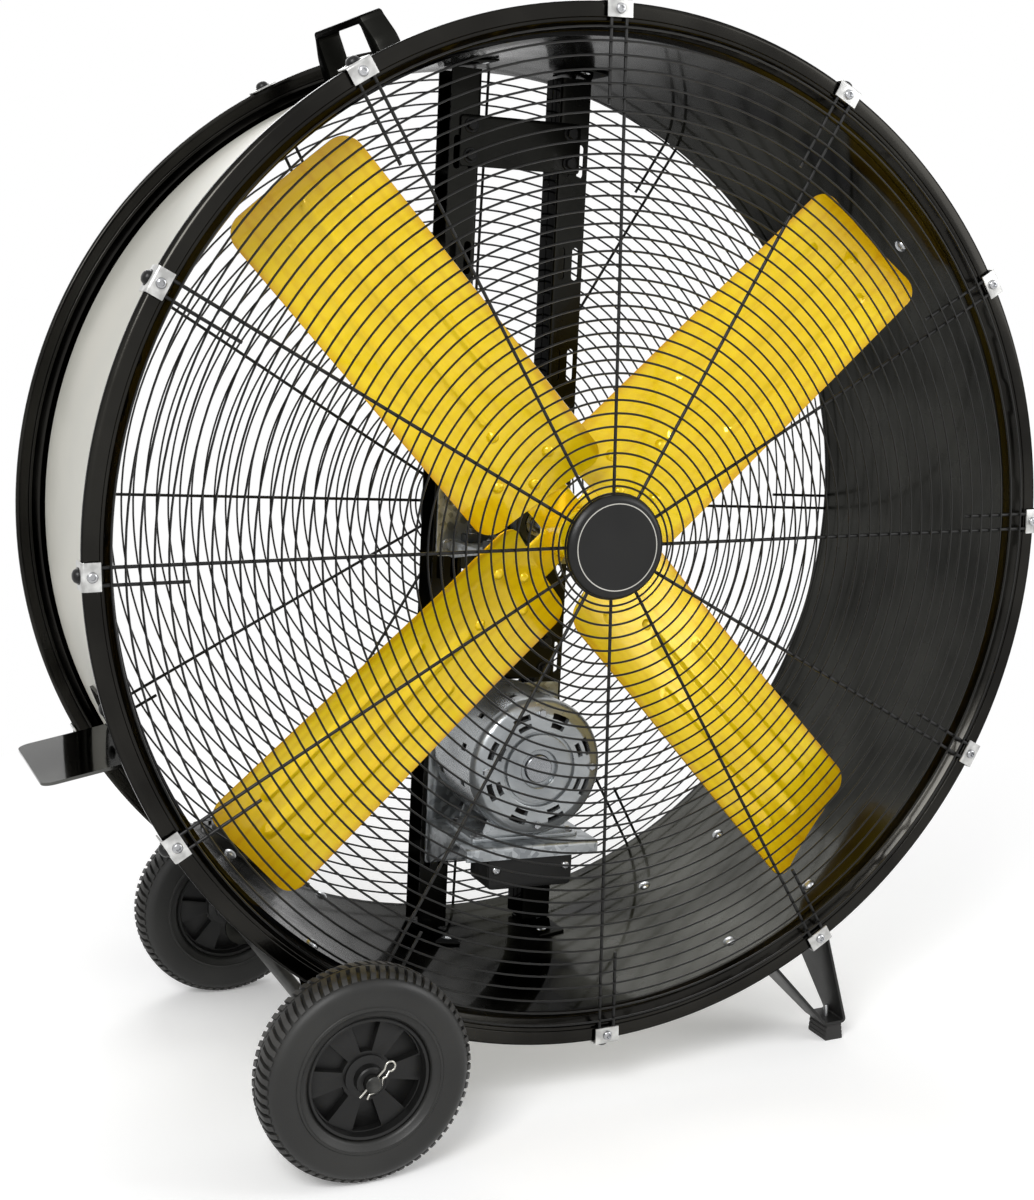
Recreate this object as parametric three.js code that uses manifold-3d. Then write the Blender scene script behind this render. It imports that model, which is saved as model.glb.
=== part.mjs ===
// Drum fan, 1.3 m across: a steel drum with a wire guard at each end stands on two wheels and two feet.
// A motor low in the drum turns a four-blade rotor through a V-belt behind the uprights.
// Millimetres, +Z up. The drum's axis runs along Y, and the air leaves towards -Y.
import * as THREE from "three";
import { mergeVertices } from "three/addons/utils/BufferGeometryUtils.js";
import Module from "manifold-3d";

const wasm = await Module();
wasm.setup();

// Angles are in degrees, anticlockwise from the right as seen from the front.
// Depths along Y are measured back from the front face of the front rim.
const CLEARANCE = 0.3; // between pieces that touch
const RUNNING_GAP = 0.6; // between pieces that turn against each other

// Drum: a rolled steel skin with an outward flange at each end.
const DRUM_BORE = 612; // radius inside the skin
const DRUM_SHEET = 2;
const DRUM_DEPTH = 490;
const DRUM_SIDES = 48;
const RIM_HEIGHT = 36; // from the skin out to the flange's edge
const RIM_HEM = 16; // depth of the flange's turned edge
const RIM_EDGE_ROUND = 4; // of the flange's outer corner
const RIM_MOUTH_REACH = 18; // how far the mouth opens out from the bore to the flange
const RIM_MOUTH_DEPTH = 22; // over this depth
const RIM_LIP = 26; // how far each rim reaches back along the skin's line
const DRUM_ROLL = 2.7; // the drum stands turned clockwise by this much
const AXIS_HEIGHT = 730; // of the drum's axis above the floor

// Guards: rings in front of spokes, welded together.
const SPOKE_RADIUS = 2.6; // to the corners of the three-sided wire
const RING_WIRE_RADIUS = 1.7;
const RING_COUNT = 30;
const INNER_RING_SIDES = 12;
const OUTER_RING_SIDES = 16;
const HUB_RING_RADIUS = 58;
const OUTER_RING_INSET = 7; // inside the bore
const SPOKE_COUNT = 12;
const SPOKE_START = 50;
const SPOKE_INSET = 10; // of the spokes' ends from the flange's edge
const SHORT_SPOKE_LENGTH = 120;
const SPOKE_PAIR_SPACING = 20; // between a long spoke and the short one beside it
const WELD_DEPTH = 0.6;
const CAP_RADIUS = 65;
const CAP_THICKNESS = 10;
const CAP_BEVEL = 7;

// Clips: bent zinc plates over the rim's edge, one on each pair of spokes.
const CLIP_WIDTH = 33;
const CLIP_SHEET = 2;
const CLIP_REACH = 20; // down the rim's face from its edge
const CLIP_RETURN = 24; // back along the rim's edge
const CLIP_SCREW_RADIUS = 6.5;
const CLIP_SCREW_HEIGHT = 3.5;
const DOME_RADIUS = 10; // of the bolt head outside each clip
const DOME_HEIGHT = 9;
const REAR_CLIP_ANGLES = [30, 120, 210, 300];

// Frame: two slotted channels stand back to back, with plates across them.
const UPRIGHT_FRONT = 345;
const UPRIGHT_DEPTH = 55;
const UPRIGHT_WIDTH = 44;
const UPRIGHT_SHEET = 3;
const UPRIGHT_GAP = 118; // between the webs
const SLOT_LENGTH = 45;
const SLOT_WIDTH = 10;
const SLOT_PITCH = 140;
const SLOT_ROWS = 8;
const SLOT_COLUMNS = [10, 33]; // from the web
const PLATE_THICKNESS = 4;
const CROSS_PLATE_WIDTH = 178;
const CROSS_PLATE_HEIGHT = 68;
const UPPER_PLATE_HEIGHT = 506; // of its middle above the axis
const LOWER_PLATE_DROP = 205; // of its middle below the axis

// Rotor: four pitched blades on a spider hub.
const ROTOR_PLANE = 108;
const BLADE_COUNT = 4;
const BLADE_FIRST_ANGLE = 43.5;
const BLADE_ROOT = 62;
const BLADE_TIP_GAP = 30; // to the drum's bore
const BLADE_CHORD = 192;
const BLADE_SHEET = 2.4;
const BLADE_CAMBER = 9;
const BLADE_CORNER = 26;
const BLADE_ROOT_PITCH = 24;
const BLADE_TIP_PITCH = 17;
const BEAD_HEIGHT = 4;
const ARM_LENGTH = 205; // of each spider arm, from the axis
const ARM_WIDTH = 62;
const ARM_THICKNESS = 6;
const HUB_RADIUS = 34;
const HUB_LENGTH = 62;
const SHAFT_RADIUS = 12.5;

// Shaft bearings: pillow blocks on a bracket in front of the uprights.
const BEARING_HEIGHT = 36.5; // of the bore above the foot
const BEARING_FOOT = 140;
const BEARING_FOOT_THICKNESS = 13;
const BEARING_BOSS_RADIUS = 31;
const BEARING_WIDTH = 30;
const BEARING_PLACES = [222, 302]; // depth of each bearing's front face
const SHELF_WIDTH = 164;
const SHELF_FRONT = 206;
const BRACKET_TOP = 38;
const BRACKET_BOTTOM = 60;
const BRACKET_WIDTH = 200;

// Belt drive, behind the uprights.
const BELT_FRONT = 411;
const BELT_WIDTH = 13;
const BELT_THICKNESS = 8;
const FAN_BELT_RADIUS = 84; // inside the belt
const MOTOR_BELT_RADIUS = 27;
const PULLEY_LIP = 2; // how far the pulley's flange stands above the belt
const PULLEY_FLANGE = 4;
const PULLEY_HUB_RADIUS = 26;
const PULLEY_WEB = 7;

// Motor.
const MOTOR_DROP = 330; // of its axis below the drum's axis
const MOTOR_RADIUS = 96;
const MOTOR_FRONT = 178;
const MOTOR_BELL = 27;
const MOTOR_BODY = 118;
const MOTOR_REAR_BELL = 16;
const MOTOR_SHAFT_RADIUS = 9.5;
const MOTOR_SEAT = 35; // how deep the shaft sits in the rear bell
const MOTOR_FOOT_WIDTH = 160;
const MOTOR_FOOT_HEIGHT = 12; // below the body
const MOTOR_FOOT_SHEET = 5;
const MOTOR_PLATE_WIDTH = 196;
const MOTOR_PLATE_TOP = 85; // above the motor's axis
const MOTOR_PLATE_BOTTOM = 172; // below the motor's axis
const MOTOR_SHELF_FRONT = 186;
const CONTROL_BOX = { width: 126, depth: 64, height: 58, corner: 6 };

// Handle on top of the drum, its grip along the axis.
const HANDLE_ANGLE = 114.5;
const HANDLE_LENGTH = 250; // at the skin
const HANDLE_WAIST = 228; // its length where the legs bend in
const HANDLE_WAIST_HEIGHT = 44;
const HANDLE_TOP = 190; // its length along the bar
const HANDLE_WIDTH = 30;
const HANDLE_RISE = 77;
const HANDLE_BAR = 9;
const HANDLE_LEG = 34; // at the skin
const HANDLE_LEG_TOP = 13;
const HANDLE_CORNER = 8;

// Step plate that tips the fan on to its wheels.
const STEP_ANGLE = 207;
const STEP_LENGTH = 200;
const STEP_REACH = 122;
const STEP_LEG = 58;
const STEP_SHEET = 4;
const STEP_SLOPE = 12; // down from the drum's own level

// Wheels on one axle under the drum, outside its rims.
const AXLE_OFFSET = 697; // from the drum's axis
const AXLE_RADIUS = 10;
const WHEEL_RADIUS = 131.92876;
const WHEEL_SPACING = 648;
const WHEEL_SIDES = 24;
const WHEEL_RIM_RADIUS = 76;
const WHEEL_RIM_WIDTH = 50;
const WHEEL_HUB_RADIUS = 18;
const WHEEL_HUB_WIDTH = 66;
const WHEEL_POCKETS = 6;
const TYRE_WIDTH = 66;
const TYRE_CROWN = 44; // width of the flat tread
const AXLE_OVERHANG = 14; // past each hub
const PIN_RADIUS = 1.8;
const PIN_LENGTH = 44;
const PIN_LEAN = 40; // degrees from upright
const BRACKET_SHEET = 4;
const BRACKET_SPREAD = 24; // degrees of the skin that each axle bracket spans
const BRACKET_STRIP = 32; // width of its curved flange
const BRACKET_INSET = 30; // from each rim's face
const BRACKET_BOSS = 26;

// Feet: folded straps under the drum with rubber blocks.
const FOOT_ANGLE = 298.4;
const FOOT_SPREAD = 5.2; // degrees from the middle to each leg
const FOOT_TAB = 4; // degrees of skin under each tab
const FOOT_TAB_INSET = 28; // of the tabs, from the nearer rim's face
const FOOT_TAB_WIDTH = 150;
const FOOT_SOLE_INSET = 40;
const FOOT_SOLE_WIDTH = 50;
const FOOT_SOLE = 32; // between its folds
const FOOT_SHEET = 4;
const PAD_LENGTH = 28;
const PAD_WIDTH = 44;
const PAD_HEIGHT = 24;
const PAD_TAPER = 2;

const SKIN_RADIUS = DRUM_BORE + DRUM_SHEET;
const RIM_RADIUS = SKIN_RADIUS + RIM_HEIGHT;
const OUTER_RING_RADIUS = DRUM_BORE - OUTER_RING_INSET;
const SPOKE_END = RIM_RADIUS - SPOKE_INSET;
const SHORT_SPOKE_START = SPOKE_END - SHORT_SPOKE_LENGTH;
const BLADE_TIP = DRUM_BORE - BLADE_TIP_GAP;
const PAINT_BLACK = [0x141414, 0.3, 0.1];
const WIRE_BLACK = [0x1a1a1a, 0.5, 0.2];
const RUBBER_BLACK = [0x1c1c1c, 0.85, 0];
const PLASTIC_BLACK = [0x202020, 0.55, 0];
const BLADE_YELLOW = [0xf2b200, 0.25, 0];
const ZINC = [0xb9bcbd, 0.4, 0.8];
const STEEL = [0x8e9194, 0.4, 0.9];
const MOTOR_GREY = [0x9a9ea0, 0.45, 0.4];
const CAST_IRON = [0x33383a, 0.6, 0.5];

const radians = THREE.MathUtils.degToRad;
const range = (count) => Array.from({ length: count }, (_, i) => i);

// Points between two angles that follow the facets of a drum of this radius, at a distance outside them.
function facetPath(radius, offset, from, to, roll = 0) {
  const facet = 360 / DRUM_SIDES;
  const low = Math.ceil((Math.min(from, to) + roll) / facet + 1e-6);
  const high = Math.floor((Math.max(from, to) + roll) / facet - 1e-6);
  const corners = range(Math.max(0, high - low + 1)).map((i) => (low + i) * facet - roll);
  const angles = [from, ...(from < to ? corners : corners.toReversed()), to];
  return angles.map((angle) => {
    const fromMiddle = ((((angle + roll) % facet) + facet) % facet) - facet / 2;
    const apothem = radius * Math.cos(radians(facet / 2)) + offset;
    return polar(apothem / Math.cos(radians(fromMiddle)), angle);
  });
}

// How far out those facets reach under a flat piece of this width.
function facetReach(radius, width, angle, roll = 0) {
  const half = THREE.MathUtils.radToDeg(Math.asin(width / 2 / radius));
  const [dx, dz] = polar(1, angle);
  return Math.max(...facetPath(radius, 0, angle - half, angle + half, roll).map(([x, z]) => x * dx + z * dz));
}

// A closed three.js geometry as a manifold-3d solid.
function solidOf(geometry) {
  const loose = geometry.index ? geometry.toNonIndexed() : geometry;
  const bare = new THREE.BufferGeometry().setAttribute("position", loose.getAttribute("position"));
  const merged = mergeVertices(bare, 1e-3);
  const faces = [];
  for (let i = 0; i < merged.index.count; i += 3) {
    const [a, b, c] = [0, 1, 2].map((k) => merged.index.getX(i + k));
    if (a !== b && b !== c && c !== a) faces.push(a, b, c);
  }
  return new wasm.Manifold(
    new wasm.Mesh({
      numProp: 3,
      vertProperties: merged.getAttribute("position").array,
      triVerts: new Uint32Array(faces),
    }),
  );
}

// A manifold-3d solid as a three.js geometry.
function geometryOf(solid) {
  const mesh = solid.getMesh();
  return new THREE.BufferGeometry()
    .setAttribute("position", new THREE.BufferAttribute(new Float32Array(mesh.vertProperties), 3))
    .setIndex(new THREE.BufferAttribute(new Uint32Array(mesh.triVerts), 1));
}

const joined = (...geometries) => geometryOf(wasm.Manifold.union(geometries.map(solidOf)));
const without = (geometry, ...cutters) =>
  geometryOf(solidOf(geometry).subtract(wasm.Manifold.union(cutters.map(solidOf))));

// A profile of [radius, depth] points turned round the Y axis. It is closed, or starts and ends on the axis.
function revolved(profile, sides, start = 0) {
  const onAxis = profile[0][0] === 0 && profile.at(-1)[0] === 0;
  const outline = onAxis ? profile : [...profile, profile[0]];
  const area = outline.reduce((sum, [r, y], i) => {
    const [nextR, nextY] = outline[(i + 1) % outline.length];
    return sum + r * nextY - nextR * y;
  }, 0);
  const points = (area > 0 ? outline : outline.toReversed()).map(([r, y]) => new THREE.Vector2(r, y));
  return geometryOf(solidOf(new THREE.LatheGeometry(points, sides, start)));
}

const shapeOf = (points) => new THREE.Shape(points.map(([u, v]) => new THREE.Vector2(u, v)));

// Points of an arc in the plane of the front view.
function arc(radius, from, to, steps, centre = [0, 0]) {
  return range(steps + 1).map((i) => {
    const a = radians(from + ((to - from) * i) / steps);
    return [centre[0] + radius * Math.cos(a), centre[1] + radius * Math.sin(a)];
  });
}

const polar = (radius, angle) => arc(radius, angle, angle, 1)[0];

// An outline in the front view, given depth from its front face backwards.
function plate(outline, front, thickness, holes = []) {
  const shape = shapeOf(outline);
  shape.holes = holes.map(shapeOf);
  return new THREE.ExtrudeGeometry(shape, { depth: thickness, bevelEnabled: false })
    .rotateX(Math.PI / 2)
    .translate(0, front + thickness, 0);
}

// An outline of [depth, radius] points across the rim, given a width along the rim and turned to an angle.
function rimPiece(outline, width, angle) {
  const turn = new THREE.Matrix4().set(0, 1, 0, 0, 1, 0, 0, 0, 0, 0, -1, width / 2, 0, 0, 0, 1);
  return new THREE.ExtrudeGeometry(shapeOf(outline), { depth: width, bevelEnabled: false })
    .applyMatrix4(turn)
    .rotateY(-radians(angle));
}

// A box between two values on each axis.
function block([x0, x1], [y0, y1], [z0, z1]) {
  const box = new THREE.BoxGeometry(x1 - x0, y1 - y0, z1 - z0);
  return box.translate((x0 + x1) / 2, (y0 + y1) / 2, (z0 + z1) / 2);
}

const rectangle = (x0, x1, z0, z1) => [[x0, z0], [x1, z0], [x1, z1], [x0, z1]];

// The outline of a sheet folded along a line of points, with mitred folds.
function foldedSheet(points, thickness) {
  const sides = [1, -1].map((side) =>
    points.map(([x, z], i) => {
      const before = points[Math.max(i - 1, 0)];
      const after = points[Math.min(i + 1, points.length - 1)];
      const a = new THREE.Vector2(x - before[0], z - before[1]);
      const b = new THREE.Vector2(after[0] - x, after[1] - z);
      const first = (a.length() ? a : b).clone().normalize();
      const second = (b.length() ? b : a).clone().normalize();
      const middle = first.clone().add(second).normalize();
      const reach = (side * thickness) / 2 / middle.dot(first);
      return [x - middle.y * reach, z + middle.x * reach];
    }),
  );
  return [...sides[0].toReversed(), ...sides[1]];
}

const level = new THREE.Group(); // stands square to the floor
const drum = new THREE.Group(); // everything fixed to the drum
drum.rotation.y = radians(DRUM_ROLL);
level.add(drum);

function add(group, name, geometry, [color, roughness, metalness]) {
  const mesh = new THREE.Mesh(geometry, new THREE.MeshStandardMaterial({ color, roughness, metalness }));
  mesh.name = name;
  group.add(mesh);
  return mesh;
}

// The distance out from a rim's face as a depth: side is -1 at the front and 1 at the rear.
const outFrom = (side, distance) => (side < 0 ? -distance : DRUM_DEPTH + distance);

// Drum skin: a plain hoop of sheet, butted between the two rims.
function drumSkin() {
  const front = RIM_LIP + CLEARANCE;
  const back = DRUM_DEPTH - front;
  const profile = [[DRUM_BORE, front], [SKIN_RADIUS, front], [SKIN_RADIUS, back], [DRUM_BORE, back]];
  return revolved(profile, DRUM_SIDES);
}

// Rim: a rolled hoop from its turned edge, across the flange and round the mouth, to the skin.
function rim(side) {
  const half = DRUM_SHEET / 2;
  const wall = DRUM_BORE + half;
  const edge = RIM_RADIUS - half;
  const line = [
    [edge, RIM_HEM],
    [edge, half + RIM_EDGE_ROUND],
    [edge - RIM_EDGE_ROUND, half],
    [wall + RIM_MOUTH_REACH, half],
    [wall + RIM_MOUTH_REACH / 4, half + RIM_MOUTH_DEPTH / 2],
    [wall, half + RIM_MOUTH_DEPTH],
    [wall, RIM_LIP],
  ];
  const outline = foldedSheet(line, DRUM_SHEET).map(([r, y]) => [r, outFrom(side, -y)]);
  return revolved(outline, DRUM_SIDES);
}

const SPOKE_TOP = CLEARANCE + 1.5 * SPOKE_RADIUS;
const RING_TOP = SPOKE_TOP + CLEARANCE + 1.5 * RING_WIRE_RADIUS;

// Guard: a rib on the first spoke carries every ring, and all spokes carry the hub ring and the outer ring.
function guard(side) {
  const spoke = (from, to, offset, lift) => {
    const wire = new THREE.CylinderGeometry(SPOKE_RADIUS, SPOKE_RADIUS, to - from, 3).rotateZ(-Math.PI / 2);
    wire.rotateX((-side * Math.PI) / 2);
    return wire.translate((from + to) / 2, outFrom(side, CLEARANCE + SPOKE_RADIUS / 2 + lift), offset);
  };
  const turned = (geometry, i) => geometry.rotateY(-radians((i * 360) / SPOKE_COUNT));
  const lean = Math.asin(SPOKE_PAIR_SPACING / 2 / (RIM_RADIUS - CLIP_REACH / 2));
  const rib = spoke(SPOKE_START, OUTER_RING_RADIUS, 0, CLEARANCE + WELD_DEPTH);
  const spokes = range(SPOKE_COUNT).flatMap((i) => [
    turned(spoke(SPOKE_START, SPOKE_END, 0, 0), i),
    turned(spoke(SHORT_SPOKE_START, SPOKE_END, SPOKE_PAIR_SPACING, 0), i),
  ]);
  const ringPitch = (OUTER_RING_RADIUS - HUB_RING_RADIUS) / (RING_COUNT - 1);
  const coarse = (HUB_RING_RADIUS + OUTER_RING_RADIUS) / 3;
  const rings = range(RING_COUNT).map((i) => {
    const radius = HUB_RING_RADIUS + i * ringPitch;
    const welded = i === 0 || i === RING_COUNT - 1;
    const apex = SPOKE_TOP + (welded ? -WELD_DEPTH : CLEARANCE);
    const halfWidth = RING_WIRE_RADIUS * Math.sin(Math.PI / 3);
    const sides = radius < coarse ? INNER_RING_SIDES : OUTER_RING_SIDES;
    const profile = [
      [radius, outFrom(side, apex)],
      [radius + halfWidth, outFrom(side, RING_TOP)],
      [radius - halfWidth, outFrom(side, RING_TOP)],
    ];
    return revolved(profile, sides, Math.PI / sides);
  });
  return joined(rib, ...spokes, ...rings).rotateY(lean);
}

function guardCap(side) {
  const seat = RING_TOP + CLEARANCE;
  const profile = [
    [0, seat],
    [CAP_RADIUS, seat],
    [CAP_RADIUS, seat + CAP_THICKNESS / 2],
    [CAP_RADIUS - CAP_BEVEL, seat + CAP_THICKNESS],
    [0, seat + CAP_THICKNESS],
  ];
  return revolved(profile.map(([r, d]) => [r, outFrom(side, d)]), 24);
}

// Clip: an L of sheet over the spokes' ends and the rim's edge, with its screw and its domed bolt head.
function clip(side, angle) {
  const bottom = SPOKE_TOP + CLEARANCE;
  const top = bottom + CLIP_SHEET;
  const edge = facetReach(RIM_RADIUS, CLIP_WIDTH, angle, side < 0 ? DRUM_ROLL : 0) + CLEARANCE;
  const outline = [
    [outFrom(side, bottom), edge - CLIP_REACH],
    [outFrom(side, top), edge - CLIP_REACH],
    [outFrom(side, top), edge + CLIP_SHEET],
    [outFrom(side, -CLIP_RETURN), edge + CLIP_SHEET],
    [outFrom(side, -CLIP_RETURN), edge],
    [outFrom(side, bottom), edge],
  ];
  const screw = plate(arc(CLIP_SCREW_RADIUS, 0, 300, 5), 0, CLIP_SCREW_HEIGHT + 1)
    .translate(edge - CLIP_REACH / 2, outFrom(side, side < 0 ? top + CLIP_SCREW_HEIGHT : top - 1), 0)
    .rotateY(-radians(angle));
  const dome = new THREE.CylinderGeometry(DOME_RADIUS * 0.5, DOME_RADIUS, DOME_HEIGHT + 1, 6)
    .translate(0, edge + CLIP_SHEET + (DOME_HEIGHT - 1) / 2, 0)
    .rotateZ(-Math.PI / 2)
    .translate(0, outFrom(side, -(CLIP_RETURN - CLIP_SHEET) / 2), 0)
    .rotateY(-radians(angle));
  return joined(rimPiece(outline, CLIP_WIDTH, angle), screw, dome);
}

add(drum, "drum_skin", drumSkin(), PAINT_BLACK);
add(drum, "front_rim", rim(-1), PAINT_BLACK);
add(drum, "rear_rim", rim(1), PAINT_BLACK);
add(level, "front_guard", guard(-1), WIRE_BLACK);
add(level, "front_guard_cap", guardCap(-1), PLASTIC_BLACK);
add(drum, "rear_guard", guard(1), WIRE_BLACK);
add(drum, "rear_guard_cap", guardCap(1), PLASTIC_BLACK);
range(SPOKE_COUNT).forEach((i) => {
  const name = "front_clip_" + String(i + 1).padStart(2, "0");
  add(level, name, clip(-1, (i * 360) / SPOKE_COUNT), ZINC);
});
REAR_CLIP_ANGLES.forEach((angle, i) => add(drum, "rear_clip_" + (i + 1), clip(1, angle), ZINC));

// Upright: a channel with its web towards the middle and slots in its front flange.
function upright(side) {
  const web = UPRIGHT_GAP / 2;
  const outer = web + UPRIGHT_WIDTH;
  const wall = DRUM_BORE * Math.cos(Math.PI / DRUM_SIDES) - CLEARANCE;
  const end = Math.sqrt(wall ** 2 - outer ** 2);
  const along = [UPRIGHT_FRONT, UPRIGHT_FRONT + UPRIGHT_DEPTH];
  const back = along[1] - UPRIGHT_SHEET;
  const across = (from, to) => (side < 0 ? [-to, -from] : [from, to]);
  const slots = range(SLOT_ROWS).flatMap((row) =>
    SLOT_COLUMNS.map((column) => {
      const z = (row - (SLOT_ROWS - 1) / 2) * SLOT_PITCH;
      const sides = across(web + column - SLOT_WIDTH / 2, web + column + SLOT_WIDTH / 2);
      return block(sides, [UPRIGHT_FRONT - 1, back - 1], [z - SLOT_LENGTH / 2, z + SLOT_LENGTH / 2]);
    }),
  );
  const channel = joined(
    block(across(web, outer), [UPRIGHT_FRONT, UPRIGHT_FRONT + UPRIGHT_SHEET], [-end, end]),
    block(across(web, web + UPRIGHT_SHEET), along, [-end, end]),
    block(across(web, outer), [back, along[1]], [-end, end]),
  );
  return without(channel, ...slots);
}

const PLATE_FRONT = UPRIGHT_FRONT - CLEARANCE - PLATE_THICKNESS;

function crossPlate(middle) {
  const half = CROSS_PLATE_WIDTH / 2;
  const rise = CROSS_PLATE_HEIGHT / 2;
  return block([-half, half], [PLATE_FRONT, PLATE_FRONT + PLATE_THICKNESS], [middle - rise, middle + rise]);
}

// Bearing bracket: a plate on the uprights, holed for the shaft, with a shelf on two gussets.
function bearingBracket() {
  const half = BRACKET_WIDTH / 2;
  const shelfTop = -BEARING_HEIGHT - CLEARANCE;
  const shelfBottom = shelfTop - PLATE_THICKNESS;
  const side = SHELF_WIDTH / 2;
  const hole = arc(BEARING_BOSS_RADIUS, 0, 330, 11);
  const gusset = (x) => {
    const outline = [[SHELF_FRONT + 20, shelfBottom + 1], [PLATE_FRONT + 1, shelfBottom + 1]];
    outline.push([PLATE_FRONT + 1, -BRACKET_BOTTOM], [PLATE_FRONT - 20, -BRACKET_BOTTOM]);
    const turn = new THREE.Matrix4().set(0, 0, 1, x, 1, 0, 0, 0, 0, 1, 0, 0, 0, 0, 0, 1);
    const web = new THREE.ExtrudeGeometry(shapeOf(outline), { depth: PLATE_THICKNESS, bevelEnabled: false });
    return web.applyMatrix4(turn);
  };
  return joined(
    plate(rectangle(-half, half, -BRACKET_BOTTOM, BRACKET_TOP), PLATE_FRONT, PLATE_THICKNESS, [hole]),
    block([-side, side], [SHELF_FRONT, PLATE_FRONT + 1], [shelfBottom, shelfTop]),
    gusset(-side),
    gusset(side - PLATE_THICKNESS),
  );
}

function pillowBlock(front) {
  const half = BEARING_FOOT / 2;
  const foot = -BEARING_HEIGHT;
  const shoulder = foot + BEARING_FOOT_THICKNESS;
  const boss = arc(BEARING_BOSS_RADIUS, -30, 210, 10);
  const outline = [[-half, foot], [half, foot], [half, shoulder], ...boss, [-half, shoulder]];
  const bore = arc(SHAFT_RADIUS + RUNNING_GAP, 0, 330, 11);
  return plate(outline, front, BEARING_WIDTH, [bore]);
}

add(drum, "left_upright", upright(-1), PAINT_BLACK);
add(drum, "right_upright", upright(1), PAINT_BLACK);
add(drum, "upper_cross_plate", crossPlate(UPPER_PLATE_HEIGHT), PAINT_BLACK);
add(drum, "lower_cross_plate", crossPlate(-LOWER_PLATE_DROP), PAINT_BLACK);
add(drum, "bearing_bracket", bearingBracket(), ZINC);
add(drum, "front_bearing", pillowBlock(BEARING_PLACES[0]), CAST_IRON);
add(drum, "rear_bearing", pillowBlock(BEARING_PLACES[1]), CAST_IRON);

// Blade: a cambered sheet with round corners, a bead down its middle, and less pitch towards its tip.
function blade() {
  const halfChord = BLADE_CHORD / 2;
  const stations = [0, 0.25, 1].map((share) => share * BLADE_CORNER);
  const bladeLength = BLADE_TIP - BLADE_ROOT;
  const middle = [0.2, 0.45, 0.7].map((share) => BLADE_CORNER + share * (bladeLength - 2 * BLADE_CORNER));
  const rows = [...stations, ...middle, ...stations.map((s) => bladeLength - s).toReversed()];
  const columns = [-1, -0.6, -0.16, 0, 0.16, 0.6, 1];
  const surface = (s, share, lift) => {
    const inset = BLADE_CORNER - Math.min(s, bladeLength - s, BLADE_CORNER);
    const cut = BLADE_CORNER - Math.sqrt(BLADE_CORNER ** 2 - inset ** 2);
    const t = share * (halfChord - cut);
    const outboard = Math.max(0, (BLADE_ROOT + s - ARM_LENGTH) / (BLADE_TIP - ARM_LENGTH));
    const pitch = radians(BLADE_ROOT_PITCH + (BLADE_TIP_PITCH - BLADE_ROOT_PITCH) * outboard);
    const beaded = share === 0 && s > 3 * BLADE_CORNER && s < bladeLength - BLADE_CORNER;
    const n = BLADE_CAMBER * (1 - (t / halfChord) ** 2) + lift - (beaded ? BEAD_HEIGHT : 0);
    const [sin, cos] = [Math.sin(pitch), Math.cos(pitch)];
    return [BLADE_ROOT + s, t * sin + n * cos, t * cos - n * sin];
  };
  const grid = (lift) => rows.flatMap((s) => columns.map((share) => surface(s, share, lift)));
  const points = [...grid(-BLADE_SHEET / 2), ...grid(BLADE_SHEET / 2)];
  const across = columns.length;
  const layer = rows.length * across;
  const faces = [];
  const quad = (a, b, c, d) => faces.push(a, b, c, a, c, d);
  range(rows.length - 1).forEach((i) =>
    range(across - 1).forEach((j) => {
      const a = i * across + j;
      quad(a, a + across, a + across + 1, a + 1);
      quad(layer + a, layer + a + 1, layer + a + across + 1, layer + a + across);
    }),
  );
  range(rows.length - 1).forEach((i) => {
    const a = i * across;
    const b = a + across - 1;
    quad(a, layer + a, layer + a + across, a + across);
    quad(b, b + across, layer + b + across, layer + b);
  });
  const last = (rows.length - 1) * across;
  range(across - 1).forEach((j) => {
    quad(j, j + 1, layer + j + 1, layer + j);
    quad(last + j, layer + last + j, layer + last + j + 1, last + j + 1);
  });
  return new THREE.BufferGeometry()
    .setAttribute("position", new THREE.BufferAttribute(new Float32Array(points.flat()), 3))
    .setIndex(faces)
    .translate(0, ROTOR_PLANE, 0);
}

// Spider hub: a bored boss with four flat arms that follow the blades' pitch behind them.
function spiderHub() {
  const armFront = BLADE_CAMBER + BLADE_SHEET / 2 + CLEARANCE;
  const bossFront = ROTOR_PLANE - HUB_LENGTH / 2 + armFront / 2;
  const boss = revolved(
    [
      [SHAFT_RADIUS + CLEARANCE, bossFront],
      [HUB_RADIUS, bossFront],
      [HUB_RADIUS, bossFront + HUB_LENGTH],
      [SHAFT_RADIUS + CLEARANCE, bossFront + HUB_LENGTH],
    ],
    16,
  );
  const arms = range(BLADE_COUNT).map((i) =>
    block([HUB_RADIUS - 6, ARM_LENGTH], [armFront, armFront + ARM_THICKNESS], [-ARM_WIDTH / 2, ARM_WIDTH / 2])
      .rotateX(-radians(BLADE_ROOT_PITCH))
      .translate(0, ROTOR_PLANE, 0)
      .rotateY(-radians(BLADE_FIRST_ANGLE + (i * 360) / BLADE_COUNT)),
  );
  return joined(boss, ...arms);
}

const BELT_BACK = BELT_FRONT + BELT_WIDTH;
const SHAFT_END = BELT_BACK + PULLEY_FLANGE + CLEARANCE + 8;
const SHAFT_START = ROTOR_PLANE - HUB_LENGTH / 2;

add(drum, "spider_hub", spiderHub(), BLADE_YELLOW);
range(BLADE_COUNT).forEach((i) => {
  const angle = BLADE_FIRST_ANGLE + (i * 360) / BLADE_COUNT;
  add(drum, "blade_" + (i + 1), geometryOf(solidOf(blade())).rotateY(-radians(angle)), BLADE_YELLOW);
});

function rod(radius, from, to, sides) {
  return new THREE.CylinderGeometry(radius, radius, to - from, sides).translate(0, (from + to) / 2, 0);
}

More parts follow.
